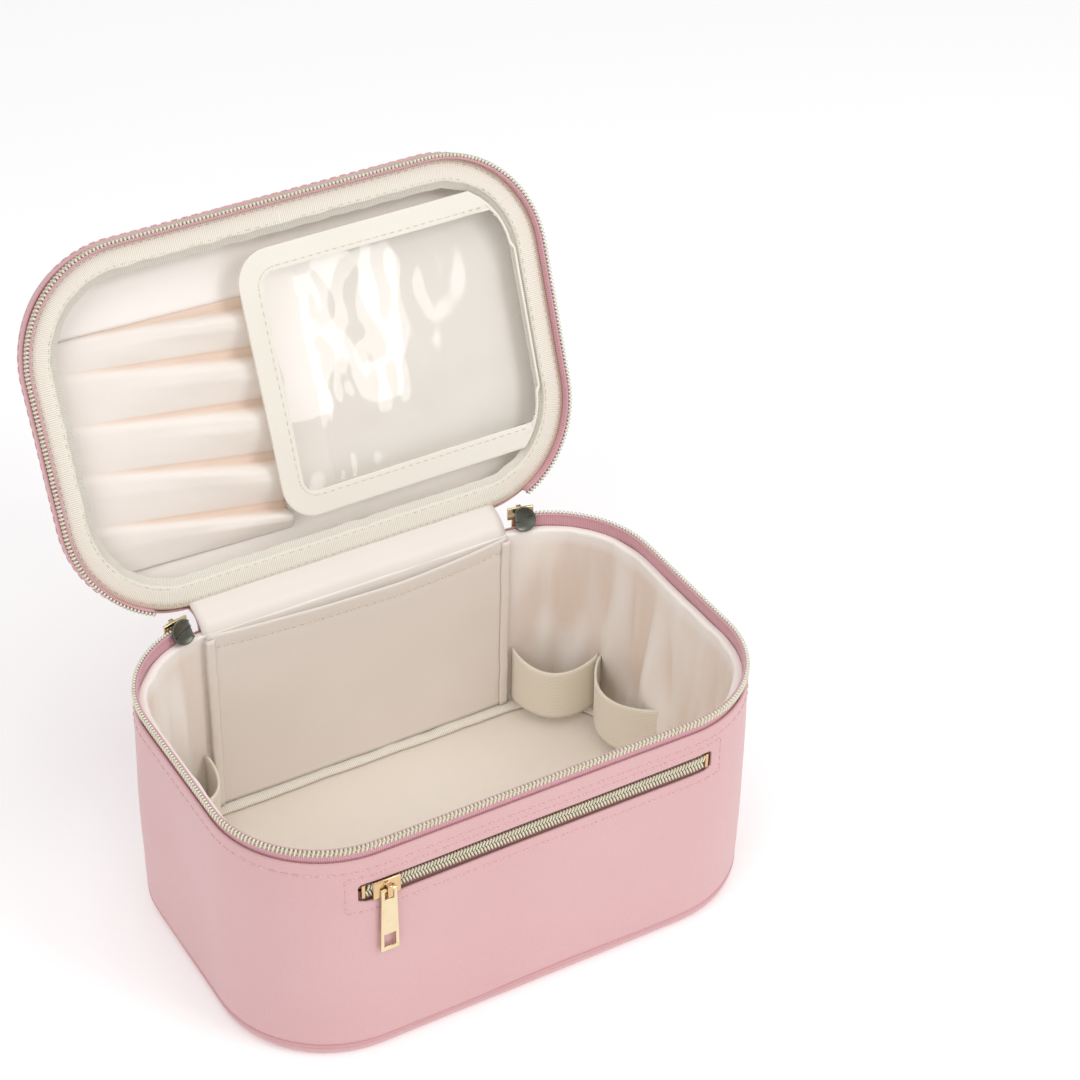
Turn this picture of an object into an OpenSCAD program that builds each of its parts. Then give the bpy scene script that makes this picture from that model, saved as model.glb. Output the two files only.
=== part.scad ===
// Soft travel make-up case, shown open.
// Z is up, X runs along the width, the front is towards -Y and the hinge towards +Y.
// The origin is on the floor, under the middle of the base. Sizes are in millimetres.

/* [Case] */
// outside width
case_width = 248; // [210:1:300]
// outside depth, front to back
case_depth = 164; // [140:1:200]
// height of the line where lid and base meet
rim_height = 116; // [96:1:160]
// height of the closed lid above that line
lid_height = 22; // [20:1:34]
// radius of the upright corners, to the outside
corner_radius = 50; // [40:1:58]
// radius of the lid's upper edge
lid_edge_radius = 10; // [8:0.5:10]
// how far the lid stands open from closed
open_angle = 112; // [100:1:125]

/* [Wall layers] */
// thickness of the outer leather
leather = 1.4; // [1:0.1:1.8]
// thickness of the wall foam with its tape
foam = 3.6; // [3.2:0.1:5]
// thickness of the lid foam
lid_foam_depth = 3; // [2:0.1:4]
// thickness of the lining cloth
lining = 0.8; // [0.5:0.1:1]
// thickness of the board in the bottom
board = 2; // [1.5:0.1:3]
// height of the bottom panel's turned-up edge
bottom_edge = 5; // [4:0.5:8]
// radius of the piping round the bottom
piping_radius = 1.1; // [0.8:0.1:1.5]
// thickness of the loose floor pad
pad_depth = 5; // [3:0.5:8]

/* [Zip] */
// thickness of the zip tape
tape = 0.6; // [0.4:0.1:0.8]
// height of one half of the main zip's coil
coil_height = 3.55; // [3:0.05:3.8]
// how far a coil stands off its tape
coil_depth = 1.8; // [1.4:0.1:1.9]
// gap between the two halves of the main zip when the lid is down
coil_gap = 0.3; // [0.3:0.05:0.6]
// tape shown between coil and leather on the base
base_tape_shown = 3.4; // [2.5:0.1:5]
// tape shown between coil and leather on the lid
lid_tape_shown = 4.7; // [4:0.1:5]
// length of a slider along the coil
slider_length = 12.5; // [10:0.5:14]
// height of a slider across the coil
slider_height = 9; // [8:0.1:9]
// thickness of a slider's outer plate
slider_plate = 1.2; // [1:0.1:1.5]
// angle round the rear corner where a main slider is parked
slider_angle = 14; // [10:1:20]
// how far the hinge and the rear panel run into the rear corners
rear_reach = 2; // [-10:0.5:3]

/* [Pulls] */
// length of a zip pull
pull_length = 33; // [26:1:40]
// thickness of a zip pull
pull_thickness = 1.4; // [1.2:0.1:1.5]
// width of a zip pull at its ring
pull_top_width = 7; // [6.6:0.1:8]
// width of a zip pull at its lower end
pull_end_width = 8.6; // [7:0.1:10]

/* [Front pocket] */
// how far the slot runs into the front corners
slot_reach = 10; // [0:1:12]
// height of the slot
slot_height = 10; // [9.8:0.1:14]
// height of the slot's middle below the rim
slot_drop = 25; // [22:1:40]
// height of one half of the pocket zip's coil
pocket_coil = 2.6; // [2:0.1:3]
// gap that the slider's post runs in
pocket_gap = 1.7; // [1.6:0.1:2]
// how deep the pocket hangs below the slot
pocket_drop = 44; // [30:1:50]

/* [Inside the base] */
// how far the front slip pocket stops short of the front corners
front_pocket_margin = 5; // [1:1:20]
// width of the elastic webbing
elastic_width = 28; // [20:1:34]
// thickness of the elastic webbing
elastic_depth = 1.2; // [1:0.1:1.5]
// how far an elastic loop stands off the corner
elastic_bow = 15; // [11:0.5:18]

/* [Inside the lid] */
// width of the ribbed binding
binding_width = 9; // [7:0.5:10]
// thickness of the ribbed binding
binding_depth = 2; // [1.5:0.1:2.4]
// distance from the rear face to the brush sleeves
sleeve_rear_margin = 19; // [17:0.5:24]
// distance from the front face to the brush sleeves
sleeve_front_margin = 40; // [30:0.5:44]
// height inside a brush sleeve
sleeve_rise = 6.6; // [6:0.1:7]
// length of the brush sleeves
sleeve_length = 80; // [60:1:84]
// width of the clear flap
flap_width = 134; // [100:1:138]
// distance from the rear face to the clear flap
flap_rear_margin = 24; // [20:1:34]
// distance from the front face to the clear flap
flap_front_margin = 20; // [18:1:34]
// width of the flap's cloth border
flap_border_width = 12; // [8:0.5:16]
// radius of the flap's free corners
flap_corner = 14; // [8:1:20]
// thickness of the flap's cloth border
flap_depth = 1.2; // [1:0.1:1.4]
// thickness of the clear sheet
clear_sheet = 0.4; // [0.3:0.1:0.5]

/* [Handle] */
// distance from the side faces to the handle's ends
handle_margin = 24; // [22:1:44]
// height of the handle above the lid
handle_rise = 50; // [38:1:60]
// width of the handle strap
strap_width = 17; // [14:0.5:20]
// thickness of one ply of the strap
strap_ply = 2.2; // [1.8:0.1:2.6]
// length of a strap foot on the lid
foot_length = 16; // [12:1:18]
// radius of a rivet head
rivet_radius = 4; // [3:0.1:4.5]

/* [Hidden] */
$fn = 64;
half_width = case_width / 2;
half_depth = case_depth / 2;
corner_x = half_width - corner_radius;
corner_y = half_depth - corner_radius;
clear = 0.3;
eps = 0.01;
wall = leather + foam + lining;
lid_wall = leather + lid_foam_depth + lining;
lid_top = rim_height + lid_height;
lid_curve = lid_top - lid_edge_radius;
base_coil_top = rim_height - coil_gap / 2;
base_leather_top = base_coil_top - coil_height - base_tape_shown;
lid_coil_bottom = rim_height + coil_gap / 2;
lid_leather_bottom = lid_coil_bottom + coil_height + lid_tape_shown;
lining_tuck = 0.5;
lining_top = base_leather_top - lining_tuck;
tape_sewn = 8;
tape_bottom = base_leather_top - tape_sewn;
tape_margin = 0.9;
seam_height = bottom_edge + piping_radius;
panel_bottom = seam_height + piping_radius;
board_top = leather + board;
floor_top = board_top + lining;
pad_top = floor_top + pad_depth;
floor_binding_width = 6.4;
floor_binding_depth = 3;
fittings_bottom = pad_top + floor_binding_depth + clear;
hinge_out = 1.2;
hinge_half = corner_x + rear_reach;
hinge_y = half_depth + hinge_out;
hinge_roll = 0.8;
slider_gap = 0.3;
plate_in = coil_depth + slider_gap;
plate_out = plate_in + slider_plate;
tunnel = pull_thickness + 2 * slider_gap;
crown_bar = 1;
crown_width = 2.4;
crown_height = 6;
pull_axis = plate_out + tunnel / 2;
pull_ring_gap = 0.9;
pull_window = 7;
pull_window_bar = 2;
pull_window_extra = 0.6;
back_plate_gap = 0.8;
back_plate = 1;
back_plate_out = -tape - back_plate_gap;
back_plate_in = back_plate_out - back_plate;
post_length = 3;
post_width = 1;
slot_z = rim_height - slot_drop;
slot_half = corner_x + slot_reach;
slot_edge = slot_height / 2;
slot_corner = slot_edge - 1;
pocket_end = 6;
pocket_seam = 3;
pocket_half = slot_half + 5;
pocket_coil_half = slot_half - 4;
pocket_stop = 1.6;
pocket_stop_x = slot_half - 1.8;
pocket_cloth = 0.4;
pocket_bottom = slot_z - pocket_drop + 1;
foam_window_half = slot_half + 8;
slider_park = slot_half - pocket_end - slider_length / 2;
tape_radius = corner_radius - leather;
slider_x = corner_x + tape_radius * sin(slider_angle);
slider_y = corner_y + tape_radius * cos(slider_angle);
lid_tape_gap = 1.5;
base_tape_end = slider_x + post_length / 2 + clear;
lid_tape_end = slider_x + slider_length / 2 + lid_tape_gap;
inner_x = half_width - wall;
inner_y = half_depth - wall;
inner_corner = corner_radius - wall;
rear_panel_y = inner_y - clear - lining;
rear_panel_width = 2 * hinge_half;
rear_pocket_drop = 6;
front_pocket_width = 2 * (corner_x - front_pocket_margin);
slip_gap = 1.2;
elastic_lift = 2;
elastic_start = 5;
elastic_seam_angle = 26;
elastic_front = -2;
lid_lip = 1.4;
lid_lip_bottom = lid_leather_bottom - lid_lip;
lid_floor = lid_top - lid_wall;
binding_gap = 1;
binding_top = lid_lip_bottom;
binding_bottom = binding_top - binding_depth;
binding_out = leather + tape + binding_gap;
binding_in = binding_out + binding_width;
flap_sink = 0.6;
flap_side_gap = 1.1;
flap_top = binding_top - flap_sink;
flap_bottom = flap_top - flap_depth;
flap_axis_x = half_width - binding_in - flap_side_gap;
flap_axis_z = (flap_top + flap_bottom) / 2;
flap_height = case_depth - flap_rear_margin - flap_front_margin;
flap_y = (flap_front_margin - flap_rear_margin) / 2;
flap_corner_gap = 2.5;
flap_sheet_margin = 3;
flap_sheet_left = 26;
flap_sheet_right = 4;
sleeve_count = 5;
sleeve_cloth = 0.8;
sleeve_flat = 1.5;
sleeve_seam = 1;
sleeve_left = binding_in + 1 - half_width;
sleeve_pitch = (case_depth - sleeve_rear_margin - sleeve_front_margin) / sleeve_count;
sleeve_y = (sleeve_front_margin - sleeve_rear_margin) / 2;
strap_depth = 2 * strap_ply;
handle_span = case_width - 2 * handle_margin;
handle_lift = 0.9;
handle_axis = strap_width / 2 + handle_lift;
arch_rise = handle_rise - handle_axis;
arch_radius = (pow(handle_span / 2, 2) + pow(arch_rise, 2)) / (2 * arch_rise);
arch_z = lid_top + handle_rise - arch_radius;
rivet_depth = 1.2;
rivet_margin = 5;

// ---------- shared shapes ----------

// A rounded rectangle, drawn flat.
module plan(w, d, r) {
  square([w - 2 * r, d], center = true);
  square([w, d - 2 * r], center = true);
  for (sx = [-1, 1], sy = [-1, 1])
    translate([sx * (w / 2 - r), sy * (d / 2 - r)]) circle(r);
}

// A plate of the case's outline, set in from the outside.
module plate(inset, z0, z1) {
  translate([0, 0, z0])
    linear_extrude(z1 - z0)
      plan(case_width - 2 * inset, case_depth - 2 * inset, corner_radius - inset);
}

// Carries a section round the case's outline. Its x is 0 at the outside and
// below 0 inwards, and its y is the height.
module round_case() {
  for (q = [[1, 1, 0], [-1, 1, 90], [-1, -1, 180], [1, -1, 270]])
    translate([q[0] * corner_x, q[1] * corner_y, 0])
      rotate([0, 0, q[2]])
        rotate_extrude(angle = 90)
          translate([corner_radius, 0]) children();
  for (side = [0, 180])
    rotate([0, 0, side]) {
      translate([half_width, 0, 0])
        rotate([90, 0, 0])
          linear_extrude(2 * corner_y, center = true) children();
      translate([0, half_depth, 0])
        rotate([0, 0, 90])
          rotate([90, 0, 0])
            linear_extrude(2 * corner_x, center = true) children();
    }
}

// Carries a section along the front wall only, from x0 to x1.
module along_front(x0, x1) {
  intersection() {
    round_case() children();
    translate([x0, -case_depth, 0]) cube([x1 - x0, case_depth, rim_height]);
  }
}

// A plain rectangular section between two insets and two heights.
module section(inset0, inset1, z0, z1) {
  translate([-inset1, z0]) square([inset1 - inset0, z1 - z0]);
}

// A block that takes away the rear stretch of a ring between -x and x.
module rear_cut(x, z0, z1) {
  translate([-x, corner_y, z0]) cube([2 * x, case_depth, z1 - z0]);
}

// A quarter ring of the lid's edge, between two insets from its surface.
module lid_edge(inset0, inset1) {
  translate([-lid_edge_radius, lid_curve])
    intersection() {
      difference() {
        circle(lid_edge_radius - inset0);
        circle(lid_edge_radius - inset1);
      }
      square(lid_edge_radius);
    }
}

// Turns the closed lid to where it stands open.
module opened() {
  translate([0, hinge_y, rim_height])
    rotate([-open_angle, 0, 0])
      translate([0, -hinge_y, -rim_height]) children();
}

// A slider on a coil that runs along x, with y outwards and z up. y is 0 at the
// tape's outer face.
module slider() {
  translate([-slider_length / 2, plate_in, -slider_height / 2])
    cube([slider_length, slider_plate, slider_height]);
  translate([-slider_length / 2, back_plate_in, -slider_height / 2])
    cube([slider_length, back_plate_out - back_plate_in, slider_height]);
  translate([-post_length / 2, back_plate_out, -post_width / 2])
    cube([post_length, plate_in - back_plate_out, post_width]);
  translate([-crown_width / 2, plate_out, -crown_height / 2])
    difference() {
      cube([crown_width, tunnel + crown_bar, crown_height]);
      translate([-eps, -eps, crown_bar])
        cube([crown_width + 2 * eps, tunnel + eps, crown_height - 2 * crown_bar]);
    }
}

// A pull that hangs from a slider's crown, with its turning axis on x.
module pull() {
  bar = pull_thickness / 2;
  ring_in = crown_width / 2 + pull_ring_gap;
  window_in = ring_in + pull_window_extra;
  ring_end = crown_height / 2 + tunnel;
  rotate([0, 90, 0]) cylinder(r = bar, h = pull_top_width, center = true);
  rotate([90, 0, 0])
    linear_extrude(pull_thickness, center = true)
      difference() {
        polygon([
          [-pull_top_width / 2, 0],
          [pull_top_width / 2, 0],
          [pull_end_width / 2, -pull_length],
          [-pull_end_width / 2, -pull_length]
        ]);
        translate([-ring_in, -ring_end]) square([2 * ring_in, ring_end - bar]);
        translate([-window_in, pull_window_bar - pull_length])
          square([2 * window_in, pull_window]);
      }
}

// Places a main slider or its pull at the right (1) or left (-1) rear corner.
module at_corner(side) {
  translate([side * slider_x, slider_y, rim_height])
    rotate([0, 0, -side * slider_angle]) children();
}

// Places the pocket's slider or its pull, with y turned to face the front.
module at_pocket() {
  translate([-slider_park, -half_depth + leather, slot_z])
    rotate([0, 0, 180]) children();
}

// Webbing bowed between two points of the wall, on the inner side.
module bowed(p, q) {
  v = q - p;
  chord = norm(v);
  r = (pow(chord / 2, 2) + pow(elastic_bow, 2)) / (2 * elastic_bow);
  translate([(p[0] + q[0]) / 2, (p[1] + q[1]) / 2])
    rotate(atan2(v[1], v[0]))
      translate([0, r - elastic_bow])
        difference() {
          circle(r + elastic_depth / 2);
          circle(r - elastic_depth / 2);
        }
}

// ---------- base ----------

module base_side_panel() {
  color("#e3b6b8")
    difference() {
      union() {
        round_case() section(0, leather, panel_bottom, base_leather_top);
      }
      translate([0, -corner_y, slot_z])
        rotate([90, 0, 0])
          linear_extrude(case_depth) plan(2 * slot_half, slot_height, slot_corner);
    }
}

module base_bottom_panel() {
  color("#d9a9ab") {
    plate(0, 0, leather);
    round_case() section(0, leather, leather, bottom_edge);
  }
}

module bottom_piping() {
  color("#dba7aa")
    round_case() translate([piping_radius - leather, seam_height]) circle(piping_radius);
}

module bottom_board() {
  color("#8d8378") plate(leather, leather, board_top);
}

module base_foam() {
  color("#d8d4c8")
    difference() {
      union() {
        round_case() {
          section(leather + tape, leather + foam, board_top, lining_top);
          section(leather, leather + tape, panel_bottom, tape_bottom - clear);
        }
      }
      along_front(-foam_window_half, foam_window_half)
        section(leather - eps, leather + foam + eps,
                slot_z - pocket_drop, slot_z + slot_edge + pocket_seam);
    }
}

module base_lining() {
  color("#e6dfd3") {
    round_case() {
      section(leather + foam, wall, floor_top, lining_top + lining);
      section(leather + tape, leather + foam, lining_top, lining_top + lining);
    }
  }
}

module floor_lining() {
  color("#e6dfd3") plate(leather + foam, board_top, floor_top);
}

module floor_pad() {
  color("#e9e1d4") plate(wall + clear, floor_top, pad_top);
}

module floor_binding() {
  color("#e0ddcd")
    round_case()
      section(wall + clear, wall + clear + floor_binding_width,
              pad_top, pad_top + floor_binding_depth);
}

module base_tape() {
  color("#d9adb2")
    difference() {
      union() {
        round_case()
          section(leather, leather + tape, tape_bottom, base_coil_top - tape_margin);
      }
      rear_cut(base_tape_end, base_leather_top, rim_height);
    }
}

module base_coil() {
  color("#d5cca6")
    difference() {
      union() {
        round_case()
          section(leather - coil_depth, leather, base_coil_top - coil_height, base_coil_top);
      }
      rear_cut(base_tape_end, 0, rim_height);
    }
}

module base_hinge_leaf() {
  color("#dfb0b3") {
    translate([-hinge_half, half_depth - leather, base_leather_top])
      cube([2 * hinge_half, leather, base_coil_top - base_leather_top]);
    translate([-hinge_half, half_depth, rim_height - hinge_roll])
      cube([2 * hinge_half, hinge_out, hinge_roll - coil_gap / 2]);
    translate([0, hinge_y, rim_height])
      rotate([0, 90, 0]) cylinder(r = hinge_roll, h = 2 * hinge_half, center = true);
  }
}

// ---------- front pocket ----------

module pocket_tape() {
  near = pocket_gap / 2;
  far = slot_edge + pocket_seam - clear;
  color("#d9b3ae")
    along_front(-pocket_half, pocket_half) {
      section(leather, leather + tape, slot_z + near, slot_z + far);
      section(leather, leather + tape, slot_z - far, slot_z - near);
    }
}

module pocket_coils() {
  near = pocket_gap / 2;
  far = near + pocket_coil;
  color("#d8d0b0")
    along_front(-pocket_coil_half, pocket_coil_half) {
      section(leather - coil_depth, leather, slot_z + near, slot_z + far);
      section(leather - coil_depth, leather, slot_z - far, slot_z - near);
    }
}

module pocket_stops() {
  far = pocket_gap / 2 + pocket_coil;
  color("#cdb98a")
    for (x = [-pocket_stop_x, pocket_stop_x - pocket_stop])
      along_front(x, x + pocket_stop)
        section(leather - coil_depth, leather, slot_z - far, slot_z + far);
}

module pocket_bag() {
  outer = leather + tape;
  inner = leather + foam;
  color("#cfa9a6")
    along_front(-pocket_half, pocket_half) {
      section(outer, outer + pocket_cloth, pocket_bottom, slot_z - slot_edge - pocket_seam);
      section(inner - pocket_cloth, inner, pocket_bottom, slot_z + slot_edge + pocket_seam - 1);
      section(outer, inner, pocket_bottom - pocket_cloth, pocket_bottom);
    }
}

// ---------- inside the base ----------

module rear_panel() {
  color("#e8e1d6")
    translate([-rear_panel_width / 2, rear_panel_y, fittings_bottom])
      cube([rear_panel_width, lining, base_coil_top - fittings_bottom]);
}

// A flat pocket's front with turned side edges, on a wall that faces +y.
module slip_front(w, z0, z1) {
  translate([-w / 2, 0, z0])
    difference() {
      cube([w, slip_gap + lining, z1 - z0]);
      translate([lining, -eps, lining])
        cube([w - 2 * lining, slip_gap + eps, z1 - z0]);
    }
}

module rear_pocket_front() {
  color("#ebe4d9")
    translate([0, rear_panel_y, 0])
      rotate([0, 0, 180])
        slip_front(rear_panel_width, fittings_bottom, base_coil_top - rear_pocket_drop);
}

module front_pocket_front() {
  color("#ebe4d9")
    translate([0, -inner_y + clear, 0])
      slip_front(front_pocket_width, fittings_bottom, lining_top);
}

module elastic_loops() {
  rear_end = [corner_x + elastic_start, inner_y];
  middle = [
    corner_x + inner_corner * cos(elastic_seam_angle),
    corner_y + inner_corner * sin(elastic_seam_angle)
  ];
  side_end = [inner_x, 0];
  color("#e8e0cc")
    translate([0, 0, fittings_bottom + elastic_lift])
      linear_extrude(elastic_width)
        for (side = [0, 1])
          mirror([side, 0])
            intersection() {
              translate([corner_x, -corner_y]) square([half_width, case_depth]);
              plan(2 * inner_x - eps, 2 * inner_y - eps, inner_corner - eps);
              union() {
                intersection() {
                  bowed(rear_end, middle);
                  translate([0, middle[1]]) square([middle[0], case_depth]);
                }
                intersection() {
                  bowed(middle, side_end);
                  translate([0, elastic_front]) square([case_width, middle[1] - elastic_front]);
                }
              }
            }
}

module left_slider() {
  color("#b59a6a") at_corner(-1) slider();
}

module right_slider() {
  color("#b59a6a") at_corner(1) slider();
}

// ---------- lid ----------

module lid_panel() {
  color("#e3b6b8")
    opened() {
      round_case() {
        section(0, leather, lid_leather_bottom, lid_curve);
        lid_edge(0, leather);
      }
      plate(lid_edge_radius, lid_top - leather, lid_top);
    }
}

module lid_foam() {
  color("#d8d4c8")
    opened() {
      round_case() {
        section(leather + tape, leather + lid_foam_depth, lid_lip_bottom + lining, lid_curve);
        lid_edge(leather, leather + lid_foam_depth);
      }
      plate(lid_edge_radius, lid_floor + lining, lid_top - leather);
    }
}

module lid_lining() {
  color("#e6dfd3")
    opened() {
      round_case() {
        section(leather + lid_foam_depth, lid_wall, lid_lip_bottom, lid_curve);
        section(leather + tape, lid_wall, lid_lip_bottom, lid_lip_bottom + lining);
        lid_edge(leather + lid_foam_depth, lid_wall);
      }
      plate(lid_edge_radius, lid_floor, lid_floor + lining);
    }
}

module lid_binding() {
  color("#e0ddcd")
    opened() round_case() section(binding_out, binding_in, binding_bottom, binding_top);
}

module lid_tape() {
  color("#d9adb2")
    opened()
      difference() {
        union() {
          round_case()
            section(leather, leather + tape, lid_coil_bottom + tape_margin, lid_curve);
        }
        rear_cut(lid_tape_end, rim_height, lid_leather_bottom);
      }
}

module lid_coil() {
  color("#d5cca6")
    opened()
      difference() {
        union() {
          round_case()
            section(leather - coil_depth, leather, lid_coil_bottom, lid_coil_bottom + coil_height);
        }
        rear_cut(lid_tape_end, rim_height, lid_leather_bottom);
      }
}

module lid_hinge_leaf() {
  color("#dfb0b3")
    opened()
      translate([-hinge_half, half_depth - leather, lid_coil_bottom])
        cube([2 * hinge_half, leather, lid_leather_bottom - lid_coil_bottom]);
}

module rear_panel_top() {
  color("#e8e1d6")
    opened()
      translate([-rear_panel_width / 2, rear_panel_y, lid_coil_bottom])
        cube([rear_panel_width, lining, binding_bottom - lid_coil_bottom]);
}

// One brush sleeve in section, upside down, with a narrow seam on each side.
module sleeve_section() {
  half = sleeve_pitch / 2 - sleeve_flat;
  r = (half * half + sleeve_rise * sleeve_rise) / (2 * sleeve_rise);
  intersection() {
    translate([0, r - sleeve_rise])
      difference() {
        circle(r + sleeve_cloth);
        circle(r);
      }
    translate([-sleeve_pitch / 2, -sleeve_rise - sleeve_cloth])
      square([sleeve_pitch, sleeve_rise + sleeve_cloth]);
  }
  for (x = [-sleeve_pitch / 2, sleeve_pitch / 2 - sleeve_seam])
    translate([x, -sleeve_cloth]) square([sleeve_seam, sleeve_cloth]);
}

module brush_sleeves() {
  color("#ece6db")
    opened()
      intersection() {
        plate(lid_edge_radius, 0, lid_top);
        union() {
          for (i = [0 : sleeve_count - 1])
            translate([
              sleeve_left,
              sleeve_y + (i - (sleeve_count - 1) / 2) * sleeve_pitch,
              lid_floor
            ])
              rotate([90, 0, 90]) linear_extrude(sleeve_length) sleeve_section();
        }
      }
}

// ---------- handle ----------

module handle_feet() {
  inner = handle_span / 2 + clear;
  color("#dba7aa")
    opened()
      for (side = [0, 180])
        rotate([0, 0, side]) {
          translate([inner, -strap_width / 2, lid_top])
            cube([foot_length, strap_width, strap_depth]);
          translate([inner, 0, lid_top + handle_axis])
            rotate([0, 90, 0]) cylinder(r = strap_width / 2, h = strap_depth);
        }
}

module handle_rivets() {
  color("#c9a86a")
    opened()
      for (side = [-1, 1])
        translate([
          side * (handle_span / 2 + foot_length - rivet_margin),
          0,
          lid_top + strap_depth
        ])
          cylinder(r = rivet_radius, h = rivet_depth);
}

// One ply of the arched strap, between two distances from its inner face.
module arch(near, far) {
  opened()
    intersection() {
      translate([0, strap_width / 2, arch_z])
        rotate([90, 0, 0])
          linear_extrude(strap_width)
            difference() {
              circle(arch_radius + far - strap_ply);
              circle(arch_radius + near - strap_ply);
            }
      union() {
        translate([-handle_span / 2 + strap_width / 2, -strap_width, lid_top + handle_axis])
          cube([handle_span - strap_width, 2 * strap_width, handle_span]);
        translate([0, 0, lid_top + handle_axis])
          rotate([0, 90, 0]) cylinder(r = strap_width / 2, h = handle_span, center = true);
      }
    }
}

module handle_strap() {
  color("#e3b6b8") arch(strap_ply, strap_depth);
}

module handle_underply() {
  color("#d49ea1") arch(0, strap_ply);
}

// ---------- clear flap ----------

// The flap's outline in plan. Its free corners are rounded, and the others are
// cut back from the lid's binding.
module flap_plan(inset) {
  w = flap_width - 2 * inset;
  h = flap_height - 2 * inset;
  r = flap_corner - inset / 2;
  edge = binding_in + flap_corner_gap;
  intersection() {
    plan(case_width - 2 * edge, case_depth - 2 * edge, corner_radius - edge);
    translate([flap_axis_x - flap_width / 2, flap_y]) {
      translate([r / 2, 0]) square([w - r, h], center = true);
      square([w, h - 2 * r], center = true);
      for (sy = [-1, 1])
        translate([r - w / 2, sy * (h / 2 - r)]) circle(r);
    }
  }
}

module flap_border() {
  color("#e4ddcf")
    opened() {
      difference() {
        translate([0, 0, flap_bottom])
          linear_extrude(flap_depth)
            difference() {
              union() {
                flap_plan(0);
                translate([flap_axis_x - flap_border_width, -corner_y])
                  square([flap_border_width, 2 * corner_y]);
              }
              flap_plan(flap_border_width);
            }
        translate([flap_axis_x - clear, -case_depth, 0])
          cube([half_width, 2 * case_depth, lid_top]);
      }
      translate([flap_axis_x, 0, flap_axis_z])
        rotate([90, 0, 0]) cylinder(r = flap_depth / 2, h = 2 * corner_y, center = true);
    }
}

module flap_window() {
  color([0.93, 0.94, 0.94, 0.35])
    opened()
      translate([0, 0, flap_axis_z - clear_sheet / 2])
        linear_extrude(clear_sheet) flap_plan(flap_border_width);
}

module flap_pocket_sheet() {
  color([0.9, 0.92, 0.93, 0.35])
    opened()
      translate([0, 0, flap_top])
        linear_extrude(clear_sheet)
          intersection() {
            flap_plan(flap_sheet_margin);
            translate([flap_axis_x - flap_width + flap_sheet_left, -case_depth])
              square([flap_width - flap_sheet_left - flap_sheet_right, 2 * case_depth]);
          }
}

// ---------- sliders and pulls that move ----------

module pocket_slider() {
  color("#cdb98a") at_pocket() slider();
}

module pocket_pull() {
  color("#d9cba8") at_pocket() translate([0, pull_axis, 0]) pull();
}

module left_pull() {
  color("#d9bf8c") at_corner(-1) translate([0, pull_axis, 0]) pull();
}

module right_pull() {
  color("#d9bf8c") at_corner(1) translate([0, pull_axis, 0]) pull();
}

base_side_panel();
base_bottom_panel();
bottom_piping();
bottom_board();
base_foam();
base_lining();
floor_lining();
floor_pad();
floor_binding();
base_tape();
base_coil();
base_hinge_leaf();
pocket_tape();
pocket_coils();
pocket_stops();
pocket_bag();
rear_panel();
rear_pocket_front();
front_pocket_front();
elastic_loops();
left_slider();
right_slider();
lid_panel();
lid_foam();
lid_lining();
lid_binding();
lid_tape();
lid_coil();
lid_hinge_leaf();
rear_panel_top();
brush_sleeves();
handle_feet();
handle_rivets();
handle_strap();
handle_underply();
flap_border();
flap_window();
flap_pocket_sheet();
pocket_slider();
pocket_pull();
left_pull();
right_pull();
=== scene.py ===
import math

import bmesh
import bpy
from mathutils import Matrix, Vector, noise


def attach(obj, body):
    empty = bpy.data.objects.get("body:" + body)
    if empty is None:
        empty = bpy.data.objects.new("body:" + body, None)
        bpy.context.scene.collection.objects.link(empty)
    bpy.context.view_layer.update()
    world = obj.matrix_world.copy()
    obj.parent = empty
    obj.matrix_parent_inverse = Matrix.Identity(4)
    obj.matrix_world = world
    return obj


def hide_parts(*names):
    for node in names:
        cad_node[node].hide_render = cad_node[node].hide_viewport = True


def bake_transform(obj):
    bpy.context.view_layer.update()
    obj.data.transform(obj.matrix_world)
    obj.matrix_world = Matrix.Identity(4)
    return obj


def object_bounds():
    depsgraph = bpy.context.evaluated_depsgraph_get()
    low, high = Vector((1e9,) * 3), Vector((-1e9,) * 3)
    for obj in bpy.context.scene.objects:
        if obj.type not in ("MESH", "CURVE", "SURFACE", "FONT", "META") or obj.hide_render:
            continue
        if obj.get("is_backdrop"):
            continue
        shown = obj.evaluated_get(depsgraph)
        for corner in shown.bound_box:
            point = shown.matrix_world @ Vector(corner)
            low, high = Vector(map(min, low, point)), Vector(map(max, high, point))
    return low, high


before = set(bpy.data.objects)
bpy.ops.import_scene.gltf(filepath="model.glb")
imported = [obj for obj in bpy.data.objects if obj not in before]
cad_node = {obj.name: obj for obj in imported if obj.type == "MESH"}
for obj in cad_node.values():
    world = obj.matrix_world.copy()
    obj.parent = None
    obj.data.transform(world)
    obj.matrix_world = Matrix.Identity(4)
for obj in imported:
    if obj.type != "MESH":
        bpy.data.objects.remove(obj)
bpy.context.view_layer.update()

# ---------- Camera ----------
# It looks down into the open case from the front left, with a long lens.
camera_turn = math.radians(-29.2)
camera_rise = math.radians(39.0)
camera_target = Vector((0, 0, 0.1155))
camera_distance = 1.125
camera_level = Vector((math.sin(camera_turn), -math.cos(camera_turn), 0))
camera_back = camera_level * math.cos(camera_rise) + Vector((0, 0, math.sin(camera_rise)))
camera_data = bpy.data.cameras.new("camera")
camera_data.sensor_width = 36
camera_data.lens = 88.7
camera_data.shift_x = 0.0904
camera_data.shift_y = 0.1185
camera = bpy.data.objects.new("camera", camera_data)
camera.location = camera_target + camera_back * camera_distance
camera.rotation_euler = (-camera_back).to_track_quat("-Z", "Y").to_euler()
bpy.context.scene.collection.objects.link(camera)
bpy.context.scene.camera = camera


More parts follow.
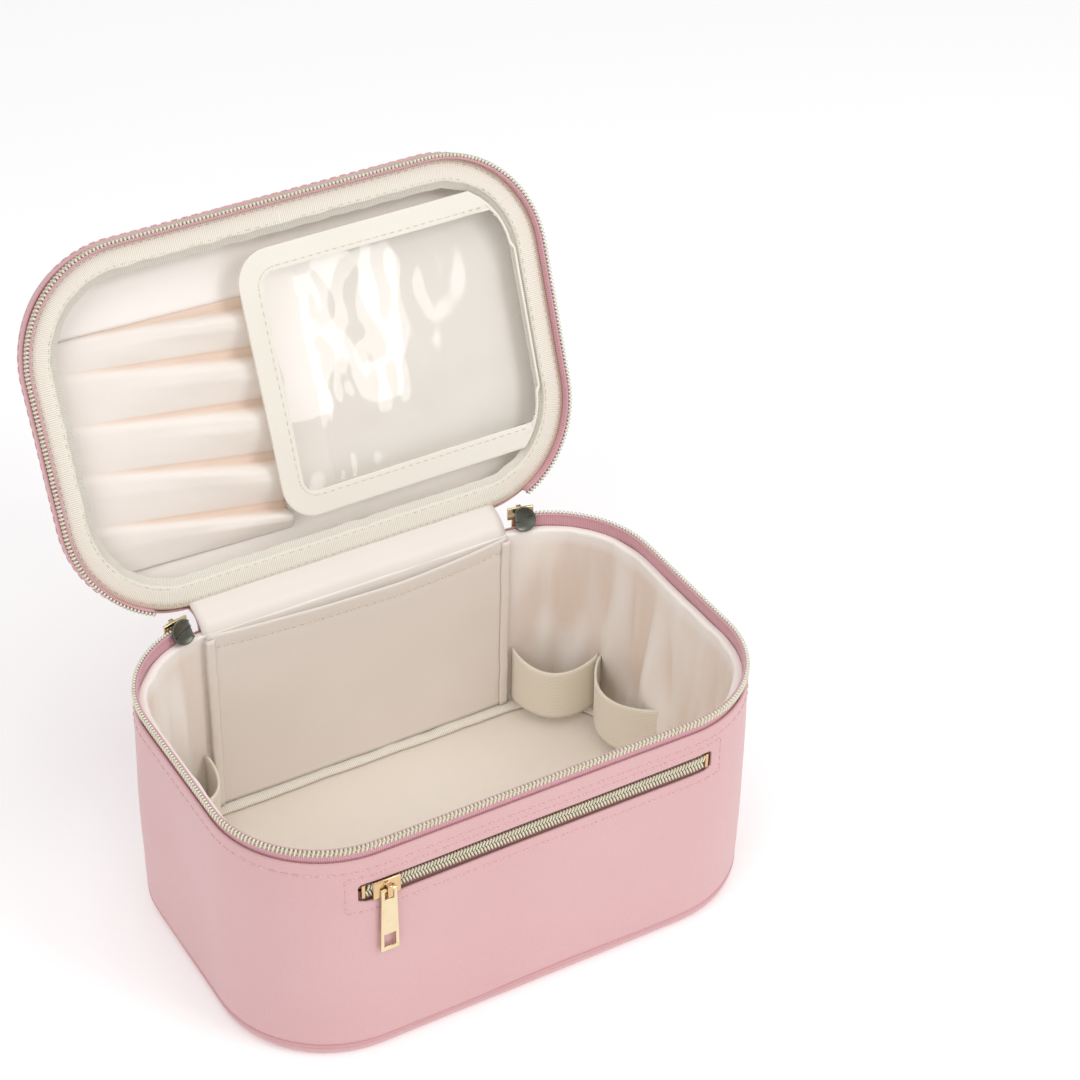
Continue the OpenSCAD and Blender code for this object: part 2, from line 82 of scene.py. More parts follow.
# ---------- Floor and light ----------
# A matt white studio floor under large soft lamps: one over the front right, one
# from the left to fill, one above for the inside, and a low one that the clear
# sheets of the flap mirror.
def linear(code):
    """A six-figure sRGB colour as linear red, green, blue and alpha."""
    shades = [int(code[i : i + 2], 16) / 255 for i in (0, 2, 4)]
    return (*[c / 12.92 if c < 0.04045 else ((c + 0.055) / 1.055) ** 2.4 for c in shades], 1)


def add(tree, kind, links=None, **settings):
    """Adds a shader node. links gives each input a value or another node's output."""
    node = tree.nodes.new("ShaderNode" + kind)
    for key, value in settings.items():
        setattr(node, key, value)
    for key, value in (links or {}).items():
        if isinstance(value, bpy.types.NodeSocket):
            tree.links.new(value, node.inputs[key])
        else:
            node.inputs[key].default_value = value
    return node


def toned(tree, factor, dark, light):
    """A blend from dark to light, each a colour code or another node's output."""
    ends = [linear(shade) if isinstance(shade, str) else shade for shade in (dark, light)]
    links = {"Factor": factor, "A": ends[0], "B": ends[1]}
    return add(tree, "Mix", links, data_type="RGBA").outputs["Result"]


def coat(tree, links):
    """Ends a material in one layered surface."""
    shader = add(tree, "BsdfPrincipled", links)
    add(tree, "OutputMaterial", {"Surface": shader.outputs["BSDF"]})


def new_finish(name):
    """A material with an empty tree, its output node and its tree."""
    finish = bpy.data.materials.new(name)
    finish.use_nodes = True
    finish.node_tree.nodes.clear()
    return finish, finish.node_tree


studio_paper, tree = new_finish("matt_studio_paper")
cloudy = add(tree, "TexNoise", {"Scale": 3.0, "Detail": 2.0}).outputs["Fac"]
paper = {"Base Color": toned(tree, cloudy, "F8F8F8", "FCFCFC"), "Roughness": 0.9}
coat(tree, paper | {"Emission Color": linear("FFFFFF"), "Emission Strength": 0.16})
floor_mesh = bpy.data.meshes.new("studio_floor")
floor_bm = bmesh.new()
bmesh.ops.create_grid(floor_bm, x_segments=4, y_segments=4, size=6)
floor_bm.to_mesh(floor_mesh)
floor_mesh.materials.append(studio_paper)
studio_floor = bpy.data.objects.new("studio_floor", floor_mesh)
bpy.context.scene.collection.objects.link(studio_floor)
studio_floor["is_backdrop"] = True

room = bpy.data.worlds.new("studio")
room.use_nodes = True
daylight = room.node_tree.nodes["Background"].inputs
daylight["Color"].default_value = linear("FFFFFF")
daylight["Strength"].default_value = 0.62
bpy.context.scene.world = room
bpy.context.scene.view_settings.view_transform = "Standard"


def lamp(name, place, size, power):
    """A round white softbox that looks at the case; size in metres, power in watts."""
    data = bpy.data.lights.new(name, "AREA")
    data.shape = "DISK"
    data.size = size
    data.energy = power
    light = bpy.data.objects.new(name, data)
    light.location = place
    light.rotation_euler = (Vector(place) - Vector((0, 0, 0.1))).to_track_quat("Z", "Y").to_euler()
    bpy.context.scene.collection.objects.link(light)


lamp("key", (0.9, -1.3, 1.5), 0.9, 10)
lamp("fill", (-1.3, -0.7, 1.4), 1.2, 6)
lamp("overhead", (-0.1, -0.1, 1.9), 1.2, 6)
lamp("strip", (0.46, -1.15, 0.46), 0.32, 0.8)

# ---------- Base wall ----------
# A band of PU-coated cloth, 1.4 mm thick, sewn to the bottom piping below and
# turned in under the zip tape above. It leans out a little towards the bottom,
# and a slot with turned edges is cut in its front for the pocket.
MM = 0.001
corner_x, corner_y, corner_r = 74, 32, 50
round_length = 4 * corner_x + 4 * corner_y + 2 * math.pi * corner_r
rim_z = 116
hinge_y = 83.2
leather = 1.4
base_top = 108.9
slot_z, slot_rise, slot_x = 91, 5, 83.9


def place_round(x, y):
    """How far round the case a point is, which way is out, and its inset."""
    cx = max(-corner_x, min(corner_x, x))
    cy = max(-corner_y, min(corner_y, y))
    away = Vector((x - cx, y - cy, 0))
    if away.length < 1e-6:
        return 0.0, Vector((0, -1, 0)), corner_r
    turn = (math.atan2(away.y, away.x) + math.pi / 2) % (2 * math.pi)
    turn = 0.0 if turn > 2 * math.pi - 1e-4 else turn
    if turn < 0.01:
        flat = cx
    elif turn < math.pi / 2 + 0.01:
        flat = corner_x + (cy + corner_y)
    elif turn < math.pi + 0.01:
        flat = corner_x + 2 * corner_y + (corner_x - cx)
    elif turn < 1.5 * math.pi + 0.01:
        flat = 3 * corner_x + 2 * corner_y + (corner_y - cy)
    else:
        flat = 3 * corner_x + 4 * corner_y + (cx + corner_x)
    return (turn * corner_r + flat) % round_length, away.normalized(), corner_r - away.length


def sweep(bm, geom, centre, axis, steps, **way):
    """Draws a section out along an arc or a line, and gives back its far end."""
    return bmesh.ops.spin(bm, geom=geom, cent=centre, axis=axis, steps=steps, **way)["geom_last"]


def carry_round(bm, section, closed=True, front=37, turn=24, side=32):
    """Takes a section of (inset, height) points once round the case."""
    verts = [bm.verts.new((0, -corner_y - corner_r + i, z)) for i, z in section]
    pairs = list(zip(verts, verts[1:])) + ([(verts[-1], verts[0])] if closed else [])
    geom = verts + [bm.edges.new(p) for p in pairs]
    legs = [
        ((1, 0), corner_x, front, (1, -1)),
        ((0, 1), 2 * corner_y, side, (1, 1)),
        ((-1, 0), 2 * corner_x, 2 * front, (-1, 1)),
        ((0, -1), 2 * corner_y, side, (-1, -1)),
        ((1, 0), corner_x, front, None),
    ]
    for (dx, dy), length, steps, corner in legs:
        step = Vector((dx, dy, 0)) * (length / steps)
        geom = sweep(bm, geom, (0, 0, 0), (0, 0, 1), steps, dvec=step)
        if corner:
            centre = (corner[0] * corner_x, corner[1] * corner_y, 0)
            geom = sweep(bm, geom, centre, (0, 0, 1), turn, angle=math.pi / 2)
    bmesh.ops.remove_doubles(bm, verts=bm.verts, dist=0.001)


def open_edges(bm):
    """The edges round a mesh's holes and its rim."""
    return [edge for edge in bm.edges if edge.is_boundary]


def close_middle(bm, z, front=37, side=32):
    """Closes the rectangle inside a section that was carried in to an inset of 50."""
    place = Matrix.Translation((0, 0, z)) @ Matrix.Diagonal((corner_x, corner_y, 1, 1))
    bmesh.ops.create_grid(bm, x_segments=2 * front, y_segments=side, size=1, matrix=place)
    bmesh.ops.remove_doubles(bm, verts=bm.verts, dist=0.001)


def soften(bm, edges, width, segments=2, clamp=False):
    """Rounds these edges over a width in millimetres."""
    bmesh.ops.bevel(
        bm, geom=edges, offset=width, segments=segments, profile=0.5, affect="EDGES",
        material=-1, clamp_overlap=clamp,
    )


def push_out(bm, amount):
    """Moves each point out from the case by amount(distance round, point)."""
    for v in bm.verts:
        along, out, inset = place_round(v.co.x, v.co.y)
        v.co += out * amount(along, v.co)


def lay_round(bm):
    """Lays a map in metres over the mesh: along the case's outline, and up."""
    uv = bm.loops.layers.uv.verify()
    for face in bm.faces:
        first = place_round(*face.loops[0].vert.co.xy)[0]
        for loop in face.loops:
            along, out, inset = place_round(*loop.vert.co.xy)
            if along - first > round_length / 2:
                along -= round_length
            elif first - along > round_length / 2:
                along += round_length
            loop[uv].uv = (along * MM, (loop.vert.co.z - inset) * MM)


def finish_piece(name, bm, finishes, body, slot, *nodes, flip=False):
    """Turns a mesh drawn in millimetres into a piece that rides on a body."""
    bmesh.ops.recalc_face_normals(bm, faces=bm.faces)
    if flip:
        bmesh.ops.reverse_faces(bm, faces=bm.faces)
    bmesh.ops.scale(bm, verts=bm.verts, vec=(MM, MM, MM))
    for face in bm.faces:
        face.smooth = True
    mesh = bpy.data.meshes.new(name)
    bm.to_mesh(mesh)
    bm.free()
    for finish in finishes if isinstance(finishes, (list, tuple)) else [finishes]:
        mesh.materials.append(finish)
    piece = bpy.data.objects.new(name, mesh)
    bpy.context.scene.collection.objects.link(piece)
    if body:
        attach(piece, body)
    if nodes:
        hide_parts(*nodes)
    return piece


def oval(inset, z, wide, tall, points):
    """A cord's section, as (inset, height) points round its middle."""
    turns = [math.tau * k / points for k in range(points)]
    return [(inset + wide * math.cos(a), z + tall * math.sin(a)) for a in turns]


def flare(z):
    """The wall leans out from the rim down, and is drawn in at the bottom seam."""
    tucked = 1.6 * max(0, 1 - z / 15) ** 2
    return 1.6 * (1 - z / rim_z) + 0.5 * math.sin(math.pi * min(1, z / rim_z)) - tucked


def drift(x, y, z):
    """Smooth noise from -1 to 1 at a point."""
    return noise.noise(Vector((x, y, z)))


def soft_wall(along, p):
    """The wall's lean, with shallow dents that die out under the rim."""
    dent = drift(p.x / 55, p.y / 55, p.z / 38) * 0.55
    return flare(p.z) + dent * min(1, (base_top - p.z) / 14)


def clouds(tree, spot, scale, detail=2.0, roughness=0.5):
    """Soft noise with this many blotches in a metre."""
    links = {"Vector": spot, "Scale": scale, "Detail": detail, "Roughness": roughness}
    return add(tree, "TexNoise", links).outputs["Fac"]


def carried(tree, value, low, high, start=0.0, end=1.0):
    """Carries a value that runs from start to end over to low to high."""
    links = {"Value": value, "From Min": start, "From Max": end, "To Min": low, "To Max": high}
    return add(tree, "MapRange", links).outputs["Result"]


def raised(tree, height, strength, distance):
    """A surface normal from a height, which is worth distance in metres."""
    links = {"Height": height, "Strength": strength, "Distance": distance}
    return add(tree, "Bump", links).outputs["Normal"]


def faux_leather(name, light, dark):
    """PU leather, embossed with a fine calf grain and matt lacquered, with painted shade in the
    grain's creases.
    """
    finish, tree = new_finish(name)
    spot = add(tree, "TexCoord").outputs["Object"]
    # The emboss is 0.5 mm, drawn at 0.9 mm so that it shows.
    cells = {"Vector": spot, "Scale": 1100.0, "Randomness": 1.0}
    grain = add(tree, "TexVoronoi", cells, feature="DISTANCE_TO_EDGE").outputs["Distance"]
    pores = clouds(tree, spot, 700.0, 4.0, 0.6)
    hide = toned(tree, clouds(tree, spot, 14.0, 3.0, 0.55), dark, light)
    crest = carried(tree, grain, 0.0, 1.0, 0.0, 0.22)
    height = add(tree, "Math", {0: crest, 1: pores}, operation="ADD").outputs["Value"]
    links = {
        # Painted shade: the colour darkens by up to 16% towards B98A8A in the creases between the
        # grain's cells.
        "Base Color": toned(tree, carried(tree, crest, 0.16, 0.0), hide, "B98A8A"),
        "Roughness": carried(tree, pores, 0.40, 0.56),
        "Normal": raised(tree, height, 0.16, 0.0001),
        "IOR": 1.48,
        "Sheen Weight": 0.12,
        "Sheen Roughness": 0.4,
    }
    coat(tree, links)
    return finish


pink_leather = faux_leather("pu_leather_pink", "DFB6B7", "D7A9AB")
wall_levels = [7.4, 9, 14, 24, 36, 48, 60, 72, 80, 86, 87.6, 91, 94.4, 96, 98.5, 102, 105.5, 107.9]
bm = bmesh.new()
wall_section = [(0.5, 7.0)] + [(0, z) for z in wall_levels]
wall_section += [(0.22, 108.5), (0.7, 108.75), (1.18, 108.5)]
wall_section += [(leather, z) for z in reversed(wall_levels)]
carry_round(bm, wall_section)
slot_faces = []
for face in bm.faces:
    p = face.calc_center_median()
    inset = place_round(p.x, p.y)[2]
    across = inset < 0.3 or inset > leather - 0.3
    if p.y < 0 and abs(p.x) < slot_x and abs(p.z - slot_z) < slot_rise and across:
        slot_faces.append(face)
bmesh.ops.delete(bm, geom=slot_faces, context="FACES")
slot_rim = open_edges(bm)
for v in {v for e in slot_rim for v in e.verts}:
    if abs(v.co.x) > slot_x - 0.6 and abs(abs(v.co.z - slot_z) - slot_rise) < 0.1:
        v.co.x -= math.copysign(1.0, v.co.x)
        v.co.z -= math.copysign(0.7, v.co.z - slot_z)
bmesh.ops.bridge_loops(bm, edges=slot_rim)
push_out(bm, soft_wall)
wall_turned = [e for e in bm.edges if e in set(slot_rim)]
soften(bm, wall_turned, 0.45)
lay_round(bm)
finish_piece("base_wall", bm, pink_leather, "base", "pink_leather", "base_side_panel")

# ---------- Bottom panel and piping ----------
# The bottom is the same leather over a grey board, turned up 5 mm at the edge.
# A thin piping of leather round a cord is caught in the seam above it.
bm = bmesh.new()
panel_section = [(leather, 4.9), (0.7, 5.2), (0, 4.8), (0, 2.6), (0.5, 1.2), (1.6, 0.3)]
panel_section += [(3.2, 0.0), (14, 0.0), (30, 0.0), (corner_r, 0.0)]
carry_round(bm, panel_section, closed=False, front=20, turn=12, side=16)
close_middle(bm, 0.0, front=20, side=16)
push_out(bm, lambda along, p: flare(p.z) * min(1, p.z / 1.2) - 0.2)
lay_round(bm)
bottom_panel = finish_piece(
    "bottom_panel", bm, pink_leather, "base", "pink_leather", "base_bottom_panel"
)
thick = bottom_panel.modifiers.new("turned_leather", "SOLIDIFY")
thick.thickness = 0.0012
thick.offset = -1

piping_leather = faux_leather("pu_leather_piping", "D9A8AC", "CF9AA0")
bm = bmesh.new()
seam_z = 6.1
carry_round(bm, oval(0.75, seam_z, 1.05, 1.05, 10))
push_out(bm, lambda along, p: flare(seam_z) + 0.05 * math.sin(along * 1.7))
lay_round(bm)
finish_piece("bottom_cord_piping", bm, piping_leather, "base", "pink_leather", "bottom_piping")


# ---------- Stitching on the base ----------
# Pink polyester thread, 0.55 mm thick. One row runs 6 mm under the rim, and a
# second frames the pocket slot.
def spun_thread(name, light, dark):
    """Two-ply polyester thread: a fine twist and a soft shine."""
    finish, tree = new_finish(name)
    spot = add(tree, "TexCoord").outputs["Object"]
    # The twist is 0.3 mm, drawn at 0.5 mm.
    links = {"Vector": spot, "Scale": 330.0, "Distortion": 1.0}
    twist = add(tree, "TexWave", links, bands_direction="DIAGONAL").outputs["Fac"]
    links = {"Base Color": toned(tree, twist, dark, light), "Roughness": 0.5}
    links |= {"Normal": raised(tree, twist, 0.3, 0.0001), "Sheen Weight": 0.2}
    coat(tree, links)
    return finish


pink_thread = spun_thread("pink_polyester_thread", "EFC3C2", "D59EA0")


def stitch(bm, middle, along, out, length, thickness=0.55):
    """One stitch, a small spindle half sunk in the cloth."""
    along = along.normalized()
    side = out.cross(along).normalized()
    up = along.cross(side)
    basis = Matrix((side, up, along)).transposed().to_4x4()
    size = Matrix.Diagonal((thickness / 2, thickness / 2, length / 2, 1))
    bmesh.ops.create_uvsphere(
        bm, u_segments=6, v_segments=4, radius=1, matrix=Matrix.Translation(middle) @ basis @ size
    )


def spot_round(along, inset, z):
    """A point on the case's outline, its direction along it and out of it."""
    along %= round_length
    flats = [corner_x, 2 * corner_y, 2 * corner_x, 2 * corner_y, corner_x]
    starts = [(0, -corner_y), (corner_x, -corner_y), (corner_x, corner_y)]
    starts += [(-corner_x, corner_y), (-corner_x, -corner_y)]
    arc = corner_r * math.pi / 2
    heading = 0.0
    for (sx, sy), flat in zip(starts, flats):
        way = Vector((math.cos(heading), math.sin(heading), 0))
        out = Vector((way.y, -way.x, 0))
        if along <= flat:
            return Vector((sx, sy, z)) + way * along + out * (corner_r - inset), way, out
        along -= flat
        if along <= arc:
            end = Vector((sx, sy, z)) + way * flat
            turned = heading + along / corner_r
            way = Vector((math.cos(turned), math.sin(turned), 0))
            out = Vector((way.y, -way.x, 0))
            return end + out * (corner_r - inset), way, out
        along -= arc
        heading += math.pi / 2
    return spot_round(0, inset, z)


def wall_stitch(bm, along, z, way=None):
    """One stitch on the wall, along it unless another way is given."""
    middle, level, out = spot_round(along, 0, z)
    middle += out * (soft_wall(0, middle) + 0.08)
    stitch(bm, middle, way or level, out, 3.4)


bm = bmesh.new()
rim_stitches = 157
for k in range(rim_stitches):
    wall_stitch(bm, k * round_length / rim_stitches, 102.9)
frame_x, frame_low, frame_high = 89, 81.6, 99.6
frame_steps = 38
for k in range(frame_steps):
    for z in (frame_low, frame_high):
        x = -frame_x + (k + 0.5) * 2 * frame_x / frame_steps
        wall_stitch(bm, x, z)
for x in (-frame_x, frame_x):
    for k in range(4):
        z = frame_low + (k + 0.5) * (frame_high - frame_low) / 4
        wall_stitch(bm, x, z, Vector((0, 0, 1)))
finish_piece("base_stitching", bm, pink_thread, "base", "pink_leather")


# ---------- Zip tape and chain on the base ----------
# Woven pink tape with raised ribs, and a spiral of plated nylon sewn along its
# edge. The teeth are 1.8 mm apart.
def ribbed_tape(name, light, dark):
    """Woven polyester tape: a fine cross weave that catches the light."""
    finish, tree = new_finish(name)
    spot = add(tree, "UVMap").outputs["UV"]
    # The weft is 0.4 mm, drawn at 0.9 mm so that it shows.
    links = {"Vector": spot, "Scale": 350.0, "Distortion": 0.4}
    weft = add(tree, "TexWave", links, bands_direction="X").outputs["Fac"]
    fuzz = clouds(tree, spot, 900.0)
    height = add(tree, "Math", {0: weft, 1: fuzz}, operation="ADD").outputs["Value"]
    links = {"Base Color": toned(tree, weft, dark, light), "Roughness": 0.7}
    links |= {"Normal": raised(tree, height, 0.5, 0.00015), "Sheen Weight": 0.25}
    coat(tree, links)
    return finish


pink_tape = ribbed_tape("woven_zip_tape_pink", "E0AEB6", "CB929B")


def tape_section(low, high, ribs):
    """A tape 0.6 mm thick with rounded ribs on both faces near its ends."""
    outer = []
    steps = int((high - low) / 0.35)
    for k in range(steps + 1):
        z = low + (high - low) * k / steps
        near = min(abs(z - r) for r in ribs)
        outer.append((z, 0.22 * max(0, 1 - near / 0.45)))
    return [(1.4 - h, z) for z, h in outer] + [(2.0 + h, z) for z, h in reversed(outer)]


def cut_rear(bm, half):
    """Takes away the stretch of a ring behind the hinge, between -half and half."""
    middles = [(f, f.calc_center_median()) for f in bm.faces]
    gone = [f for f, middle in middles if middle.y > corner_y and abs(middle.x) < half]
    bmesh.ops.delete(bm, geom=gone, context="FACES")
    bmesh.ops.holes_fill(bm, edges=open_edges(bm), sides=0)


bm = bmesh.new()
base_ribs = (109.6, 110.4, 111.2, 112.0, 114.6)
base_gap = 87.6
carry_round(bm, tape_section(101.5, 114.95, base_ribs), front=20)
cut_rear(bm, base_gap)
lay_round(bm)
finish_piece("base_zip_tape", bm, pink_tape, "base", "pink_zip_tape", "base_tape")


def plated_chain(name):
    """Nylon coil with a thin plated skin, pale gold outside and silvery inside."""
    finish, tree = new_finish(name)
    side = add(tree, "Attribute", attribute_name="side").outputs["Fac"]
    scuff = clouds(tree, add(tree, "TexCoord").outputs["Object"], 420.0, 3.0)
    worn = carried(tree, scuff, 0.0, 0.5, 0.55, 0.75)
    tone = toned(tree, worn, toned(tree, side, "E4E2DA", "DFDAC4"), "C9BC96")
    links = {"Base Color": tone, "Roughness": carried(tree, scuff, 0.2, 0.38), "Metallic": 0.6}
    coat(tree, links)
    return finish


chain_plating = plated_chain("plated_nylon_coil")
core_thread = spun_thread("coil_core_cord", "C9B7A0", "8F7B66")


def tooth(bm, middle, along, out, size, lean):
    """One turn of the coil: a bar with rounded edges that leans along the zip."""
    up = along.cross(out) * -1
    up = up if up.z > 0 else -up
    basis = Matrix((along, out, up)).transposed().to_4x4()
    tip = Matrix.Rotation(lean, 4, "Y")
    place = Matrix.Translation(middle) @ basis @ tip @ Matrix.Diagonal((*size, 1))
    return bmesh.ops.create_cube(bm, size=1, matrix=place)["verts"]


def chain(bm, spots, size, lean=0.24):
    """A row of teeth with rounded edges."""
    for middle, along, out in spots:
        tooth(bm, middle, along, out, size, lean)
    soften(bm, bm.edges[:], min(size) * 0.36, 1)


def mark(piece, name, values):
    """Writes a number on each point of a piece, for its material to read."""
    piece.data.attributes.new(name, "FLOAT", "POINT").data.foreach_set("value", values)


tooth_pitch = 1.8
coil_middle = 114.1
bm = bmesh.new()
spots = []
count = int(round_length / tooth_pitch)
for k in range(count):
    middle, way, out = spot_round(k * round_length / count, 0.5, coil_middle)
    if not (middle.y > corner_y and abs(middle.x) < base_gap):
        spots.append((middle, way, out))
chain(bm, spots, (1.15, 1.75, 3.5))
base_teeth = finish_piece("base_zip_teeth", bm, chain_plating, "base", "gold_coil", "base_coil")
insets = [place_round(v.co.x / MM, v.co.y / MM)[2] for v in base_teeth.data.vertices]
mark(base_teeth, "side", [1.0 if inset < 0.55 else 0.0 for inset in insets])
bm = bmesh.new()
carry_round(bm, oval(0.5, coil_middle - 0.3, 0.55, 1.1, 6), front=20)
cut_rear(bm, base_gap)
lay_round(bm)
finish_piece("base_coil_cord", bm, core_thread, "base", "gold_coil")


# ---------- Wall lining ----------
# Cream satin cut to the inside of the wall, tacked under the tape and tucked
# under the floor pad. It is a little too long, so it stands in soft folds.
def woven_cloth(name, light, dark, scale, bands, strength=0.25, rough=0.55, sheen=0.3):
    """Woven polyester: fine threads, a soft sheen and painted warm shade in its folds."""
    finish, tree = new_finish(name)
    spot = add(tree, "TexCoord").outputs["Object"]
    links = {"Vector": add(tree, "UVMap").outputs["UV"], "Scale": scale}
    links |= {"Distortion": 1.2, "Detail": 1.0}
    threads = add(tree, "TexWave", links, bands_direction=bands).outputs["Fac"]
    slub = clouds(tree, spot, 520.0, 3.0, 0.6)
    links = {0: threads, 1: clouds(tree, spot, 22.0), 2: 0.25}
    shade = add(tree, "Math", links, operation="MULTIPLY_ADD").outputs["Value"]
    # Painted shade: where a piece marks its folds and troughs, the colour is drawn towards a warm
    # peach, DDB392.
    painted_valley_shade = add(tree, "Attribute", attribute_name="painted_valley_shade").outputs["Fac"]
    height = add(tree, "Math", {0: threads, 1: slub}, operation="ADD").outputs["Value"]
    links = {
        "Base Color": toned(tree, painted_valley_shade, toned(tree, shade, dark, light), "DDB392"),
        "Roughness": rough,
        "Normal": raised(tree, height, strength, 0.00012),
        "Sheen Weight": sheen,
        "Sheen Roughness": 0.35,
    }
    coat(tree, links)
    return finish


cream_satin = woven_cloth("satin_lining_cream", "FBF6F1", "F3E9E1", 760.0, "X", 0.16, 0.42, 0.3)


def folds(along, p):
    """Soft upright folds that fade out at the top, the bottom and behind the pockets."""
    rise = math.sin(math.pi * max(0, min(1, (p.z - 6) / 104))) ** 0.6
    calm = max(0, min(1, (abs(p.x) - 74) / 16))
    wide = drift(along / 17, p.z / 60, 3.1)
    fine = drift(along / 7.5, p.z / 45, 8.7)
    return -rise * calm * (9.0 * max(0, wide + 0.1) + 3.0 * max(0, fine))


bm = bmesh.new()
lining_section = [(2.1, 108.9), (2.8, 109.25), (4.9, 109.25), (5.6, 108.9), (5.8, 108.0)]
lining_section += [(5.8, 105.0 - 4.0 * k) for k in range(26)]
carry_round(bm, lining_section, closed=False)
push_out(bm, folds)
# Painted shade on the side walls: a mark that tints the lining warm where it lies back between the
# folds, and less on their crests.
fold_shade = []
for v in bm.verts:
    along = place_round(v.co.x, v.co.y)[0]
    calm = max(0, min(1, (abs(v.co.x) - 74) / 16)) * (v.co.z < 104)
    fold_shade.append(calm * max(0, 0.9 + 2.2 * folds(along, v.co) / 9) ** 2 * 0.4)
lay_round(bm)
wall_lining = finish_piece(
    "wall_lining", bm, cream_satin, "base", "cream_satin", "base_lining", flip=True
)
mark(wall_lining, "painted_valley_shade", fold_shade)

# ---------- Foam, board and floor cloth ----------
# The stiffening inside the walls and the floor. Only its cut edges could show.
raw_foam = woven_cloth("polyether_foam", "DAD6CA", "C4BFB1", 90.0, "DIAGONAL", 0.3, 0.85, 0.1)
grey_board = woven_cloth("grey_board", "988E83", "7F766C", 120.0, "DIAGONAL", 0.2, 0.8, 0.0)
pocket_cloth = woven_cloth("pocket_cloth_pink", "D3ADAA", "BE9693", 350.0, "X", 0.2, 0.7, 0.2)
for node, finish in (
    ("base_foam", raw_foam),
    ("lid_foam", raw_foam),
    ("bottom_board", grey_board),
    ("floor_lining", cream_satin),
    ("pocket_bag", pocket_cloth),
):
    cad_node[node].data.materials.clear()
    cad_node[node].data.materials.append(finish)

# ---------- Floor pad ----------
# A loose pad of 5 mm foam in cream twill. It crowns a little in the middle and
# is edged with a puffy ribbed binding that is sewn round its top.
def lay_flat(bm):
    """Lays a map in metres over the mesh, seen from above."""
    uv = bm.loops.layers.uv.verify()
    for face in bm.faces:
        for loop in face.loops:
            loop[uv].uv = (loop.vert.co.x * MM, loop.vert.co.y * MM)


cream_twill = woven_cloth("twill_pad_cream", "F2EADF", "E6DACB", 560.0, "DIAGONAL", 0.3, 0.6, 0.25)
bm = bmesh.new()
pad_section = [(corner_r, 4.3), (32, 4.3), (18, 4.3), (8, 4.3), (6.5, 4.8), (6.2, 6.2), (6.5, 8.2)]
pad_section += [(8, 8.9), (12, 9.1), (18, 9.2), (26, 9.2), (38, 9.2), (corner_r, 9.2)]
carry_round(bm, pad_section, closed=False, front=20, turn=12, side=16)
close_middle(bm, 4.3, front=20, side=16)
close_middle(bm, 9.2, front=20, side=16)
for v in bm.verts:
    if v.co.z > 7:
        inset = place_round(v.co.x, v.co.y)[2]
        swell = drift(v.co.x / 34, v.co.y / 30, 5.0)
        v.co.z += 0.5 * min(1, max(0, inset - 10) / 20) * (1 + swell)
lay_flat(bm)
floor_pad = finish_piece("floor_pad_twill", bm, cream_twill, "base", "cream_twill", "floor_pad")

ribbed_binding = ribbed_tape("grosgrain_binding_cream", "F6F1E6", "DCD4C4")
bm = bmesh.new()
carry_round(bm, oval(9.4, 10.65, 3.4, 1.6, 14))
push_out(bm, lambda along, p: 0.4 * drift(along / 9, p.z / 4, 1.0))
for v in bm.verts:
    along = place_round(v.co.x, v.co.y)[0]
    v.co.z += (v.co.z - 9.2) * 0.28 * drift(along / 11, 2.0, v.co.z / 6)
lay_round(bm)
finish_piece("pad_edge_binding", bm, ribbed_binding, "base", "cream_ribbed_tape", "floor_binding")


# ---------- Front pocket zip ----------
# The same coil in a smaller size behind the slot, closed, with brass stops, a
# plated slider at its left end and a tapered die-cast pull.
def cast_metal(name, light, dark, rough_low=0.16, rough_high=0.3):
    """Electroplated zinc: bright, with fine handling scratches."""
    finish, tree = new_finish(name)
    spot = add(tree, "TexCoord").outputs["Object"]
    scratch = clouds(tree, spot, 600.0, 6.0, 0.7)
    links = {
        "Base Color": toned(tree, clouds(tree, spot, 120.0), dark, light),
        "Roughness": carried(tree, scratch, rough_low, rough_high),
        "Metallic": 1.0,
        "Normal": raised(tree, scratch, 0.08, 0.0001),
    }
    coat(tree, links)
    return finish


champagne_gold = cast_metal("plated_zinc_champagne", "F0E2C2", "DDCBA2")
warm_gold = cast_metal("plated_zinc_gold", "E7CDA2", "CFAA7C")
black_nickel = cast_metal("plated_zinc_black_nickel", "7C7D74", "4F5149", 0.22, 0.45)


def sharp_edges(bm, angle):
    """The edges whose two faces meet at more than this angle in radians."""
    return [e for e in bm.edges if len(e.link_faces) == 2 and e.calc_face_angle() > angle]


def smooth_copy(node, width, segments=2):
    """A copy of a CAD node in millimetres with its sharp edges rounded."""
    bm = bmesh.new()
    bm.from_mesh(cad_node[node].data)
    bmesh.ops.scale(bm, verts=bm.verts, vec=(1 / MM, 1 / MM, 1 / MM))
    bmesh.ops.remove_doubles(bm, verts=bm.verts, dist=0.01)
    bmesh.ops.dissolve_limit(bm, angle_limit=math.radians(2), verts=bm.verts, edges=bm.edges)
    sharp = sharp_edges(bm, 0.6)
    soften(bm, sharp, width, segments, clamp=True)
    return bm


cad_node["pocket_tape"].data.materials.clear()
